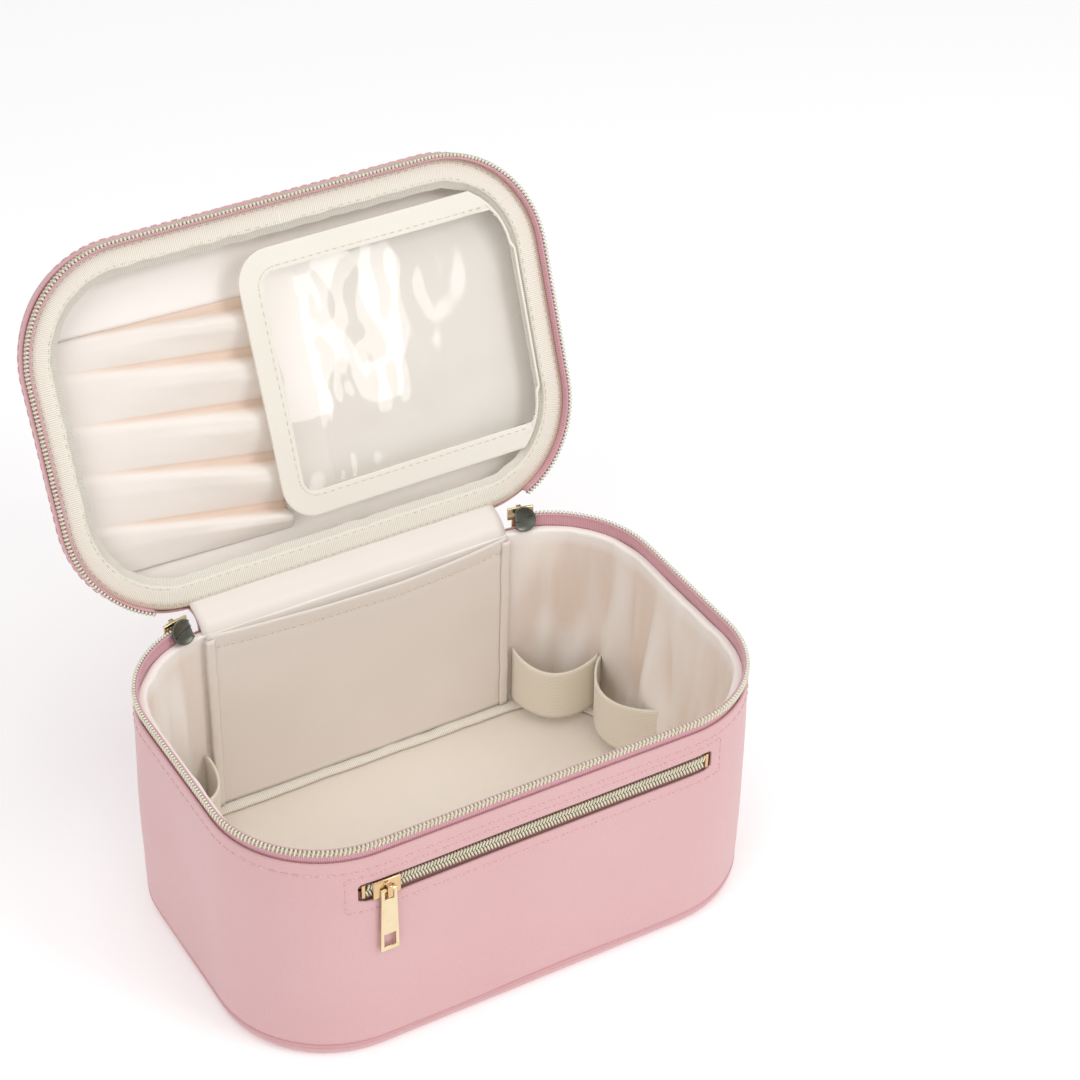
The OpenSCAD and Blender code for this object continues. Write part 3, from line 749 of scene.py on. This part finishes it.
# Painted shadow: the pocket's tape behind the slot is given a darker pink than the main zip tape.
zip_shadow = woven_cloth("pocket_tape_painted_shadow", "C99F98", "A87E78", 350.0, "X", 0.3, 0.75, 0.2)
cad_node["pocket_tape"].data.materials.append(zip_shadow)
bm = bmesh.new()
spots = []
pocket_pitch = 1.5
for k in range(-53, 54):
    for side in (-1, 1):
        x = (k + side * 0.25) * pocket_pitch
        middle, way, out = spot_round(x, 0.5, slot_z + side * 1.55)
        middle += out * flare(slot_z) * 0.25
        spots.append((middle, way * side, out))
chain(bm, spots, (1.0, 1.5, 3.3), lean=0.32)
pocket_teeth = finish_piece(
    "pocket_zip_teeth", bm, chain_plating, "base", "gold_coil", "pocket_coils"
)
mark(pocket_teeth, "side", [1.0] * len(pocket_teeth.data.vertices))
finish_piece(
    "pocket_zip_stops", smooth_copy("pocket_stops", 0.3), warm_gold, "base", "gold_metal",
    "pocket_stops",
)
finish_piece(
    "pocket_zip_slider", smooth_copy("pocket_slider", 0.45), warm_gold, "pocket_slider",
    "gold_metal", "pocket_slider",
)
finish_piece(
    "pocket_zip_pull", smooth_copy("pocket_pull", 0.35, 3), champagne_gold, "pocket_pull",
    "gold_metal", "pocket_pull",
)

# ---------- Rear panel and its slip pocket ----------
# A satin panel 152 mm wide that rises from the pad, lies on the rear wall and
# crosses the hinge to the lid's binding. A deep slip pocket with a turned hem
# is sewn on its lower part, and both side edges are folded and stitched.
panel_half = 76
# Painted shade: the panel and pockets take a darker copy of the cream lining satin, for the shade
# deep in the case.
shaded_panel_satin = woven_cloth("satin_panel_cream_shaded", "F1EAE3", "E5DAD0", 760.0, "X", 0.16, 0.36, 0.3)


def smooth_path(points, rounds=3):
    """Cuts the corners off a path until it runs smoothly."""
    path = [Vector(p) for p in points]
    for _ in range(rounds):
        cut = [path[0]]
        for a, b in zip(path, path[1:]):
            cut += [a.lerp(b, 0.25), a.lerp(b, 0.75)]
        path = cut + [path[-1]]
    return path


def path_point(path, t):
    """The point at share t of a path's length."""
    lengths = [(b - a).length for a, b in zip(path, path[1:])]
    left = t * sum(lengths)
    for a, b, length in zip(path, path[1:], lengths):
        if left <= length or b is path[-1]:
            return a.lerp(b, min(1, left / length))
        left -= length
    return path[-1]


def hang_sheet(columns, rows, place):
    """A grid whose points go where place(across, up) puts them, mapped in metres."""
    bm = bmesh.new()
    bmesh.ops.create_grid(bm, x_segments=columns, y_segments=rows, size=0.5)
    shares = {v: (v.co.x + 0.5, v.co.y + 0.5) for v in bm.verts}
    for v, (across, up) in shares.items():
        v.co = place(across, up)
    wide = (place(1, 0.5) - place(0, 0.5)).length * MM
    tall = (place(0.5, 1) - place(0.5, 0)).length * MM
    uv = bm.loops.layers.uv.verify()
    for face in bm.faces:
        for loop in face.loops:
            across, up = shares[loop.vert]
            loop[uv].uv = (across * wide, up * tall)
    return bm


def thicken(piece, depth, offset=-1.0):
    """Gives a sheet this thickness in millimetres."""
    shell = piece.modifiers.new("cloth", "SOLIDIFY")
    shell.thickness = depth * MM
    shell.offset = offset


panel_path = smooth_path(
    [(0, 75.5, 12.6), (0, 75.5, 98), (0, 76, 107), (0, 79, 113), (0, 84.5, 116.6), (0, 91, 117.9),
     (0, 92.4, 120.2)]
)


def panel_place(across, up):
    p = path_point(panel_path, up)
    x = (across - 0.5) * 2 * panel_half
    wave = drift(x / 38, up * 4, 0.3)
    edge = 1 - abs(2 * across - 1) ** 6
    return Vector((x, p.y - 0.9 * edge * abs(wave) * (1 - up * 0.6), p.z))


bm = hang_sheet(40, 60, panel_place)
rear_sheet = finish_piece(
    "rear_panel_satin", bm, shaded_panel_satin, None, "cream_satin", "rear_panel", "rear_panel_top"
)
thicken(rear_sheet, 0.7, 0.0)
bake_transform(rear_sheet)


def pocket_place(across, up):
    x = (across - 0.5) * 2 * (panel_half - 0.6)
    belly = math.sin(math.pi * across) ** 0.8
    lean = 1 - 0.35 * math.cos(math.pi * across)
    top = 110.5 - 4.0 * belly * lean * 0.8
    ripple = drift(x / 30, up * 2.5, 7.7)
    y = 74.3 - 0.6 * belly - 2.2 * belly * up**2 - 0.7 * belly * abs(ripple)
    hem = 0.25 if 0.905 < up < 0.93 else 0.0
    return Vector((x, y + hem, 12.6 + (top - 12.6) * up))


bm = hang_sheet(48, 56, pocket_place)
slip_pocket = finish_piece(
    "rear_slip_pocket", bm, shaded_panel_satin, "base", "cream_satin", "rear_pocket_front"
)
thicken(slip_pocket, 0.6, 0.0)

cream_thread = spun_thread("cream_polyester_thread", "E6DDCB", "BDAE97")
brown_thread = spun_thread("brown_tacking_thread", "8D7A68", "5F5044")
bm = bmesh.new()
for k in range(42):
    across = (k + 0.5) / 42
    a, b = pocket_place(across - 0.004, 0.925), pocket_place(across + 0.004, 0.925)
    stitch(bm, (a + b) / 2 + Vector((0, -0.35, 0)), b - a, Vector((0, -1, 0)), 2.8, 0.45)
pocket_trim = [finish_piece("slip_pocket_stitching", bm, cream_thread, "base", "cream_satin")]
bm = bmesh.new()
for side in (0.022, 0.978):
    for k in range(10):
        low, high = panel_place(side, 0.05 + k * 0.082), panel_place(side, 0.07 + k * 0.082)
        out = Vector((0, -1, 0))
        stitch(bm, (low + high) / 2 + Vector((0, -1.5, 0)), high - low, out, 2.2, 0.5)
finish_piece("panel_edge_stitching", bm, brown_thread, "base", "cream_satin")
for name, side in (("panel_left_fold", -1), ("panel_right_fold", 1)):
    def fold_place(across, up, side=side):
        x = side * (panel_half - 4.2 + 4.4 * across)
        puff = 0.7 * math.sin(math.pi * across) ** 0.5
        sway = 0.4 * drift(up * 9, side, 0.5)
        return Vector((x + sway, 73.6 - puff, 12.7 + 95.5 * up))

    bm = hang_sheet(6, 40, fold_place)
    edge = finish_piece(name, bm, shaded_panel_satin, "base", "cream_satin", flip=side > 0)
    thicken(edge, 0.5, 0.0)
    pocket_trim.append(edge)

# ---------- Front slip pocket ----------
# A plain satin pocket on the inside of the front wall.
front_half = 69


def front_pocket_place(across, up):
    x = (across - 0.5) * 2 * front_half
    belly = math.sin(math.pi * across) ** 0.8
    return Vector((x, -74.6 + 1.6 * belly * up**2, 12.6 + (95.6 - 2.5 * belly) * up))


bm = hang_sheet(40, 36, front_pocket_place)
front_pocket = finish_piece(
    "front_slip_pocket", bm, shaded_panel_satin, "base", "cream_satin", "front_pocket_front", flip=True
)
thicken(front_pocket, 0.6, 0.0)

# ---------- Elastic loops ----------
# Ivory elastic webbing 28 mm wide with fine ribs along its length, bowed off
# the walls at the four rear and side stretches and stitched upright between.
elastic_web = ribbed_tape("elastic_webbing_ivory", "F6F0E2", "E6DCC8")
for name, side in (("left", -1), ("right", 1)):
    rear_end = Vector((79, 76.2, 0))
    turn = math.radians(26)
    middle = Vector((corner_x + 44.2 * math.cos(turn), corner_y + 44.2 * math.sin(turn), 0))
    side_end = Vector((118.2, 0, 0))
    for part, start, end in (("rear", rear_end, middle), ("side", middle, side_end)):
        chord = end - start
        bow = 15.0
        inward = Vector((chord.y, -chord.x, 0)).normalized()

        def loop_place(across, up, start=start, chord=chord, inward=inward, side=side):
            stand = bow * math.sin(math.pi * across) ** 0.75
            lip = 1.2 * math.sin(math.pi * across) * (up - 0.5)
            p = start + chord * (0.03 + 0.94 * across) + inward * (0.9 + stand + lip)
            rise = 14.6 + 27.6 * up + 1.6 * up * (abs(2 * across - 1) ** 3)
            return Vector((side * p.x, p.y, rise))

        bm = hang_sheet(36, 14, loop_place)
        uv = bm.loops.layers.uv.verify()
        for face in bm.faces:
            for loop in face.loops:
                loop[uv].uv = (loop[uv].uv.y, loop[uv].uv.x)
        web = finish_piece(f"elastic_{name}_{part}", bm, elastic_web, "base", "ivory_elastic",
                           *(["elastic_loops"] if (name, part) == ("left", "rear") else []))
        thicken(web, 1.1, 0.0)

# ---------- Main zip sliders and pulls ----------
# Two die-cast sliders are parked at the rear corners, where the lid's chain
# leaves the base. Their rounded back plates, in black nickel, face inwards.
slider_turn = math.radians(14)
slider_x, slider_y = 85.76, 79.16


def cut_off(bm, at, way):
    """Takes away what lies past a plane through a point, in the plane's direction."""
    everything = bm.verts[:] + bm.edges[:] + bm.faces[:]
    bmesh.ops.bisect_plane(bm, geom=everything, plane_co=at, plane_no=way, clear_outer=True)


for side, name in ((-1, "left"), (1, "right")):
    bm = smooth_copy(f"{name}_slider", 0.45)
    inward = (-side * math.sin(slider_turn), -math.cos(slider_turn), 0)
    cut_off(bm, (side * slider_x, slider_y - 1.0, rim_z), inward)
    bmesh.ops.holes_fill(bm, edges=open_edges(bm), sides=0)
    for v in bm.verts:
        v.co.z = rim_z - 1.2 + (v.co.z - rim_z) * 0.7
    finish_piece(f"{name}_zip_slider", bm, champagne_gold, "base", "gold_metal", f"{name}_slider")
    finish_piece(f"{name}_zip_pull", smooth_copy(f"{name}_pull", 0.35, 3), champagne_gold,
                 f"{name}_pull", "gold_metal", f"{name}_pull")
    bm = bmesh.new()
    bmesh.ops.create_circle(bm, cap_ends=True, radius=5.7, segments=40)
    cut_off(bm, (side * -4.1, 0, 0), (-side, 0, 0))
    bmesh.ops.inset_region(bm, faces=bm.faces[:], thickness=0.7, use_boundary=True)
    face = max(bm.faces, key=lambda f: f.calc_area())
    bmesh.ops.inset_region(bm, faces=[face], thickness=0.25, depth=-0.22)
    bmesh.ops.solidify(bm, geom=bm.faces[:], thickness=1.0)
    soften(bm, sharp_edges(bm, 0.9), 0.16)
    groove = Matrix.Rotation(0.3, 4, "Z") @ Matrix.Diagonal((9.0, 0.35, 0.5, 1))
    bmesh.ops.create_cube(bm, size=1, matrix=groove)
    bmesh.ops.transform(bm, verts=bm.verts, matrix=Matrix.Rotation(math.pi / 2, 4, "X"))
    bmesh.ops.transform(
        bm, verts=bm.verts,
        matrix=Matrix.Translation((side * slider_x, slider_y, rim_z - 1.4))
        @ Matrix.Rotation(-side * slider_turn, 4, "Z") @ Matrix.Translation((0, -3.4, 0.6))
        @ Matrix.Rotation(math.radians(-28), 4, "X"),
    )
    finish_piece(f"{name}_slider_back_plate", bm, black_nickel, "base", "nickel_metal")

# ---------- Leather hinge ----------
# A strip of the same leather joins lid and base behind the satin panel.
hinge_half = 75.8
hinge_path = smooth_path(
    [(0, 81.4, 107.8), (0, 81.6, 110.8), (0, 83.2, 113.9), (0, 87, 114.9), (0, 91, 114.3),
     (0, 92.6, 113.5)]
)


def hinge_place(across, up):
    p = path_point(hinge_path, up)
    x = (across - 0.5) * 2 * hinge_half
    return Vector((x, p.y + 0.15 * drift(x / 9, up * 3, 2.2), p.z))


bm = hang_sheet(60, 20, hinge_place)
hinge_strip = finish_piece(
    "leather_hinge", bm, pink_leather, None, "pink_leather", "base_hinge_leaf", "lid_hinge_leaf"
)
thicken(hinge_strip, 1.2, 0.0)
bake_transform(hinge_strip)

# ---------- Lid shell ----------
# The same leather over 3 mm foam, drawn over the edge in one piece, so the top
# is softly domed. The shell is made shut and then turned to stand open.
lid_stands = 112
lid_turn = Matrix.Rotation(math.radians(-lid_stands), 4, "X")
lid_centre = Vector((0, hinge_y, rim_z))


def open_lid(bm):
    """Turns a mesh that was drawn on the shut case to where the lid stands open."""
    bmesh.ops.rotate(bm, verts=bm.verts, cent=lid_centre, matrix=lid_turn)


def dome(x, y):
    return 2.2 * max(0, 1 - (x / 122) ** 2) * max(0, 1 - (y / 80) ** 2)


bm = bmesh.new()
shell_section = [(1.2, 124.1), (0.5, 123.9), (0, 124.3), (0, 125.2), (0, 126.6)]
turns = [math.radians(10 * k) for k in range(1, 10)]
shell_section += [(12 - 12 * math.cos(a), 126.6 + 11.4 * math.sin(a)) for a in turns]
shell_section += [(16, 138), (22, 138), (30, 138), (40, 138), (corner_r, 138)]
carry_round(bm, shell_section, closed=False, turn=24, front=37, side=32)
close_middle(bm, 138.0)
for v in bm.verts:
    x, y, z = v.co
    up = max(0, min(1, (z - 126) / 12))
    dent = 0.4 * drift(x / 45, y / 45, z / 30 + 9)
    v.co.z += up * (dome(x, y) + dent)
push_out(bm, lambda along, p: 0.35 * drift(p.x / 30, p.y / 30, 4) * (p.z < 137))
lay_round(bm)
open_lid(bm)
lid_shell = finish_piece("lid_shell", bm, pink_leather, "lid", "pink_leather", "lid_panel")
thicken(lid_shell, 1.3)
bm = bmesh.new()
for k in range(rim_stitches):
    middle, way, out = spot_round(k * round_length / rim_stitches, 0, 127.6)
    stitch(bm, middle + out * 0.05, way, out, 3.4)
open_lid(bm)
finish_piece("lid_stitching", bm, pink_thread, "lid", "pink_leather")

# ---------- Zip tape and chain on the lid ----------
# The other half of the main zip, sewn under the lid's edge.
lid_gap = 93.5
lid_coil_middle = 117.9
bm = bmesh.new()
carry_round(bm, tape_section(117.05, 126.0, (117.4, 120.2, 121.0, 121.8, 122.6)), front=20)
cut_rear(bm, lid_gap)
lay_round(bm)
open_lid(bm)
finish_piece("lid_zip_tape", bm, pink_tape, "lid", "pink_zip_tape", "lid_tape")
bm = bmesh.new()
spots = []
for k in range(count):
    middle, way, out = spot_round((k + 0.5) * round_length / count, 0.5, lid_coil_middle)
    if not (middle.y > corner_y and abs(middle.x) < lid_gap):
        spots.append((middle, way * -1, out))
chain(bm, spots, (1.15, 1.75, 3.5))
bm.verts.index_update()
outer = [1.0 if place_round(v.co.x, v.co.y)[2] < 0.55 else 0.0 for v in bm.verts]
open_lid(bm)
lid_teeth = finish_piece("lid_zip_teeth", bm, chain_plating, "lid", "gold_coil", "lid_coil")
mark(lid_teeth, "side", outer)
bm = bmesh.new()
carry_round(bm, oval(0.5, lid_coil_middle + 0.3, 0.55, 1.1, 6), front=20)
cut_rear(bm, lid_gap)
lay_round(bm)
open_lid(bm)
finish_piece("lid_coil_cord", bm, core_thread, "lid", "gold_coil")

# ---------- Lid lining and binding ----------
# Satin over the foam, drawn a little slack, and a ribbed binding laid flat over
# its sewn edge. A beige cord is caught on the binding's outer side.
bm = bmesh.new()
lid_lining_section = [(2.1, 123.2), (3.4, 123.1), (5.0, 123.4), (5.2, 124.2), (5.2, 128)]
turns = [math.radians(15 * k) for k in range(1, 7)]
lid_lining_section += [(10 - 4.8 * math.cos(a), 128 + 4.8 * math.sin(a)) for a in turns]
lid_lining_section += [(inset, 132.8) for inset in (12, 15, 19, 24, 30, 36, 43, corner_r)]
carry_round(bm, lid_lining_section, closed=False)
close_middle(bm, 132.8)
for v in bm.verts:
    x, y, z = v.co
    if z > 131:
        slack = drift(x / 26, y / 18, 11) + 0.5 * drift(x / 11, y / 9, 12)
        v.co.z -= (0.3 + 0.4 * min(1, max(0, (x + 18) / 40))) * (1 + slack)
lay_flat(bm)
open_lid(bm)
lid_satin = finish_piece("lid_lining_satin", bm, cream_satin, "lid", "cream_satin", "lid_lining",
                         flip=True)

bm = bmesh.new()
binding_section = [(3.2, 122.4), (3.0, 121.8), (3.5, 121.1), (6, 120.9), (9, 121.0), (11.2, 120.9)]
binding_section += [(12.2, 121.3), (12.4, 122.0), (12.2, 122.9), (15.4, 123.0), (15.4, 123.3)]
binding_section += [(11.8, 123.2), (9, 122.8), (5, 122.6)]
carry_round(bm, binding_section)
for v in bm.verts:
    along, out, inset = place_round(v.co.x, v.co.y)
    reach = min(1, max(0, (inset - 6) / 6))
    at_flap = v.co.x > 90 and abs(v.co.y) < 62
    v.co += out * reach * (0.4 if at_flap else 0.7 * drift(along / 8, 1, 1))
    v.co.z -= 0.35 * reach * drift(along / 12, 4, 4) + 0.1
lay_round(bm)
open_lid(bm)
finish_piece("lid_binding_ribbed", bm, ribbed_binding, "lid", "cream_ribbed_tape", "lid_binding")
beige_cord = ribbed_tape("twisted_cord_beige", "DCC8B4", "B79F8C")
bm = bmesh.new()
carry_round(bm, oval(2.7, 121.7, 0.75, 0.75, 8))
lay_round(bm)
open_lid(bm)
finish_piece("lid_edge_cord", bm, beige_cord, "lid", "cream_ribbed_tape")
bm = bmesh.new()
for inset, pitch, thickness in ((4.2, 3.4, 0.4), (11.0, 4.4, 0.35)):
    steps = int(round_length / pitch)
    for k in range(steps):
        middle, way, out = spot_round(k * round_length / steps, inset, 120.85)
        stitch(bm, middle, way, Vector((0, 0, -1)), pitch * 0.62, thickness)
open_lid(bm)
finish_piece("binding_stitching", bm, cream_thread, "lid", "cream_ribbed_tape")

# ---------- Brush sleeves ----------
# One piece of cream satin sewn down in lines that fan out, which leaves five
# sleeves. Each is pinned flat at its left end and gapes at its right end.
sleeve_satin = woven_cloth("satin_sleeves_cream", "F5EEE7", "EADFD5", 760.0, "Y", 0.16, 0.45, 0.3)
seam_left = [-44.7, -31.5, -8.5, 13.0, 36.5, 60.5]
seam_right = [-42.5, -20.0, 3.4, 27.6, 50.4, 63.0]
sleeve_from, sleeve_to = -110.5, -18.0


def sleeve_trough(across, part):
    """The share of a sleeve that sinks into shadow beside its seam."""
    return 0.02 + (0.26, 0.2, 0.14, 0.2, 0.3)[part] * max(0, across - 0.15) ** 1.3


def sleeve_place(across, up):
    part = min(4, int(up * 5))
    share = up * 5 - part
    low = seam_left[part] + (seam_right[part] - seam_left[part]) * across
    high = seam_left[part + 1] + (seam_right[part + 1] - seam_left[part + 1]) * across
    gape = 0.5 + 6.6 * across ** 1.2
    lump = 1 + 0.3 * drift(across * 3, part * 5.0, share * 2)
    trough = sleeve_trough(across, part)
    t = max(0, (share - trough) / (1 - trough))
    swell = gape * lump * min(1, t / 0.16) ** 0.5 * min(1, (1 - t) / 0.6) ** 0.8 if share else 0.0
    sag = 0.10 * gape * math.sin(math.pi * share)
    x = sleeve_from + (sleeve_to - sleeve_from) * across
    y = low + (high - low) * share + sag
    # The lid's round corner cuts the sleeves short at the rear left.
    reach = corner_x + math.sqrt(max(0, 40**2 - max(0, y - corner_y) ** 2)) - 1
    x = max(x, -reach)
    crease = 0.25 * drift(x / 7, y / 4, 3)
    return Vector((x, y, 131.9 - swell - abs(crease)))


bm = hang_sheet(40, 100, lambda across, up: sleeve_place(across, min(up, 0.99999)))
# Painted shade: each sleeve's trough beside its seam is tinted warm, fading just past the trough
# and towards the pinned left end.
trough_shade = []
for k in range(len(bm.verts)):
    across, up = k % 41 / 40, min(k // 41 / 100, 0.99999) * 5
    trough = sleeve_trough(across, int(up))
    edge = 1.0 if up % 1 < trough else max(0, 1 - (up % 1 - trough) / 0.06)
    trough_shade.append(0.55 * edge * min(1, across * 3))
open_lid(bm)
sleeves = finish_piece("brush_sleeve_satin", bm, sleeve_satin, "lid", "cream_satin",
                       "brush_sleeves")
mark(sleeves, "painted_valley_shade", trough_shade)
thicken(sleeves, 0.5, 0.0)

# ---------- Clear flap ----------
# A flap of heavy clear PVC in a cream twill border, sewn to the lid along its
# right side. A second clear sheet behind it makes the pocket.
border_twill = woven_cloth("twill_border_cream", "F3EEE4", "E6DFD2", 560.0, "DIAGONAL", 0.25, 0.6)
flap_left, flap_right, flap_low, flap_high = -22.9, 110.8, -62.0, 58.0
flap_z = 121.8


def flap_reach(y, short=0.0):
    """How far right the flap goes before the binding's round inner corner."""
    past = max(0, abs(y) - corner_y)
    curve = flap_right - corner_x - short - min(1.5, 1.5 * past)
    return corner_x + math.sqrt(curve**2 - min(curve, past) ** 2)


def flap_outline(bm, inset, radius, segments=9, right=0.0):
    """The flap's outline with its two free corners rounded."""
    low, high = flap_low + inset, flap_high - inset
    corners = [(flap_left + inset, low)]
    levels = [low + (-corner_y - low) * k / 8 for k in range(9)]
    levels += [corner_y + (high - corner_y) * k / 8 for k in range(9)]
    corners += [(flap_reach(y, right), y) for y in levels]
    corners.append((flap_left + inset, high))
    verts = [bm.verts.new((x, y, flap_z)) for x, y in corners]
    bm.faces.new(verts)
    bmesh.ops.bevel(
        bm, geom=[verts[0], verts[-1]], offset=radius, segments=segments, profile=0.5,
        affect="VERTICES", material=-1,
    )


def flap_wave(x, y):
    away = max(0, (flap_right - x) / 134)
    return -1.6 * away**2 + 0.9 * away * drift(x / 40, y / 32, 6)


bm = bmesh.new()
flap_outline(bm, 0, 15)
flap_outline(bm, 10.5, 6, right=0.9)
bmesh.ops.delete(bm, geom=bm.faces[:], context="FACES_ONLY")
bmesh.ops.bridge_loops(bm, edges=bm.edges[:])
bmesh.ops.subdivide_edges(bm, edges=bm.edges[:], cuts=7, use_grid_fill=True)
for v in bm.verts:
    v.co.z += flap_wave(v.co.x, v.co.y)
lay_flat(bm)
open_lid(bm)
border = finish_piece("flap_border_twill", bm, border_twill, "flap", "cream_twill", "flap_border")
thicken(border, 1.3, 0.0)
soft = border.modifiers.new("turned_edge", "BEVEL")
soft.width = 0.0004
soft.segments = 2
soft.limit_method = "ANGLE"
soft.angle_limit = math.radians(50)


def clear_vinyl(name, scale, strength):
    """Plasticised PVC sheet: glass clear, glossy, and wavy from being folded."""
    finish, tree = new_finish(name)
    spot = add(tree, "TexCoord").outputs["Object"]
    links = {"Vector": spot, "Scale": scale, "Detail": 0.5, "Distortion": 0.6}
    waves = add(tree, "TexNoise", links).outputs["Fac"]
    normal = raised(tree, waves, strength, 0.004)
    # A thin mirror stands for the gloss: its share of the light follows Fresnel.
    links = {"Base Color": linear("FFFFFF"), "Metallic": 1.0, "Roughness": 0.05, "Normal": normal}
    gloss = add(tree, "BsdfPrincipled", links).outputs["BSDF"]
    clear = add(tree, "BsdfTransparent", {"Color": linear("FDFDFC")}).outputs["BSDF"]
    mirrored = add(tree, "Fresnel", {"IOR": 1.54, "Normal": normal}).outputs["Fac"]
    links = {0: carried(tree, mirrored, 0.05, 0.9, 0.05, 0.8), 1: clear, 2: gloss}
    mix = add(tree, "MixShader", links).outputs["Shader"]
    add(tree, "OutputMaterial", {"Surface": mix})
    return finish


clear_pvc = clear_vinyl("clear_pvc_sheet", 16.0, 0.5)


def window_place(across, up):
    edge, r = 9.0, 6.0
    y = flap_low + edge + (flap_high - flap_low - 2 * edge) * up
    x = flap_left + edge + (flap_reach(y, 0.5) - flap_left - edge) * across
    cx = max(flap_left + edge + r, x)
    cy = max(flap_low + edge + r, min(flap_high - edge - r, y))
    away = Vector((x - cx, y - cy))
    if x < cx and away.length > r:
        away *= r / away.length
        x, y = cx + away.x, cy + away.y
    slack = math.sin(math.pi * across) * math.sin(math.pi * up)
    ripple = 1.3 * drift(x / 22, y / 38, 21) * slack**0.5
    return Vector((x, y, flap_z + flap_wave(x, y) + ripple))


bm = hang_sheet(60, 54, window_place)
open_lid(bm)
window_sheet = finish_piece("clear_window", bm, clear_pvc, "flap", "clear_pvc", "flap_window")


def pocket_sheet_place(across, up):
    y = flap_low + 5 + (flap_high - flap_low - 10) * up
    x = 3.0 + (flap_reach(y, 3.0) - 3.0) * across
    free = (1 - across) ** 2
    bend = 1.2 * free * drift(x / 9, y / 16, 33)
    z = flap_z + 1.3 + 0.4 * free + bend * 0.8 + flap_wave(x, y)
    return Vector((x + 1.6 * free * drift(3, y / 12, 2), y, z))


bm = hang_sheet(56, 54, pocket_sheet_place)
open_lid(bm)
pocket_film = finish_piece("clear_pocket_sheet", bm, clear_pvc, "flap", "clear_pvc",
                           "flap_pocket_sheet")

bm = bmesh.new()
seam_bm = bmesh.new()
flap_outline(seam_bm, 8.5, 9)
seam_loop = [v.co.copy() for v in max(seam_bm.faces, key=lambda f: f.calc_area()).verts]
seam_bm.free()
for a, b in zip(seam_loop, seam_loop[1:] + seam_loop[:1]):
    steps = max(1, round((b - a).length / 4.0))
    for k in range(steps):
        middle = a.lerp(b, (k + 0.5) / steps)
        if middle.x > flap_reach(middle.y) - 4:
            continue
        middle.z += flap_wave(middle.x, middle.y) - 0.7
        stitch(bm, middle, b - a, Vector((0, 0, -1)), min(2.6, (b - a).length / steps * 0.7), 0.4)
open_lid(bm)
flap_stitching = finish_piece("flap_stitching", bm, cream_thread, "flap", "cream_twill")

# ---------- Handle ----------
# Two plies of leather sewn face to face into an arched strap. Its ends go into
# slits in the lid's top, each with a small domed rivet beside it.
arch_z, arch_r, ply = 44.55, 143.45, 2.2
strap_low = arch_r - ply
for side, name in ((-1, "left"), (1, "right")):
    bm = bmesh.new()
    verts = []
    right_side = [(6, 0), (7.6, 0), (8.2, 0.3), (8.5, 1.1), (8.5, 1.9), (8.25, 2.1), (8.5, 2.3)]
    right_side += [(8.5, 3.1), (8.2, 3.9), (7.6, 4.2), (6, 4.25)]
    left_side = [(-y, rise) for y, rise in reversed(right_side)]
    for y, rise in [(0, 0)] + right_side + [(0, 4.5)] + left_side:
        verts.append(bm.verts.new((0, y, arch_z + strap_low + rise)))
    edges = [bm.edges.new((a, b)) for a, b in zip(verts, verts[1:] + verts[:1])]
    swing = math.asin(100 / arch_r)
    last = sweep(bm, verts + edges, (0, 0, arch_z), (0, 1, 0), 40, angle=side * swing)
    # The last stretch straightens out and goes down into the slit.
    for k in range(10):
        step = Vector((side * math.cos(swing + 0.03 * k), 0, -math.sin(swing + 0.03 * k))) * 1.75
        last = sweep(bm, last, (side * 104, 0, arch_z), (0, 1, 0), 1, dvec=step)
    foot_end = [edge for edge in open_edges(bm) if abs(edge.verts[0].co.x) > 1]
    bmesh.ops.holes_fill(bm, edges=foot_end, sides=0)
    bmesh.ops.remove_doubles(bm, verts=bm.verts, dist=0.001)
    lay_flat(bm)
    open_lid(bm)
    strap = finish_piece(f"handle_{name}_half", bm, pink_leather, None, "pink_leather",
                         *(["handle_strap", "handle_underply", "handle_feet"] if side < 0 else []))
    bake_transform(strap)
    bm = bmesh.new()
    for edge in (-6.6, 6.6):
        for k in range(24):
            turn = side * swing * (k + 0.5) / 24 * 0.93
            radial = Vector((math.sin(turn), 0, math.cos(turn)))
            way = Vector((math.cos(turn), 0, -math.sin(turn)))
            for depth, flip in ((strap_low + 4.3, 1), (strap_low - 0.05, -1)):
                spot = Vector((0, edge, arch_z)) + radial * depth
                stitch(bm, spot, way, radial * flip, 3.2, 0.5)
    open_lid(bm)
    finish_piece(f"handle_{name}_stitching", bm, pink_thread, "handle", "pink_leather")
    bm = bmesh.new()
    dome_outline = ((0, 1.5), (1.4, 1.4), (2.6, 1.05), (3.5, 0.4), (3.8, -0.2))
    dome_verts = [bm.verts.new((reach, 0, z)) for reach, z in dome_outline]
    dome_edges = [bm.edges.new(p) for p in zip(dome_verts, dome_verts[1:])]
    bmesh.ops.spin(
        bm, geom=dome_verts + dome_edges, cent=(0, 0, 0), axis=(0, 0, 1), angle=math.tau,
        steps=28, use_merge=True,
    )
    bmesh.ops.remove_doubles(bm, verts=bm.verts, dist=0.001)
    bmesh.ops.holes_fill(bm, edges=open_edges(bm), sides=0)
    bmesh.ops.translate(bm, verts=bm.verts, vec=(side * 90, 0, 138.0 + dome(90, 0) + 0.2))
    open_lid(bm)
    finish_piece(f"handle_{name}_rivet", bm, warm_gold, "lid", "gold_metal",
                 *(["handle_rivets"] if side < 0 else []))
low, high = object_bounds()
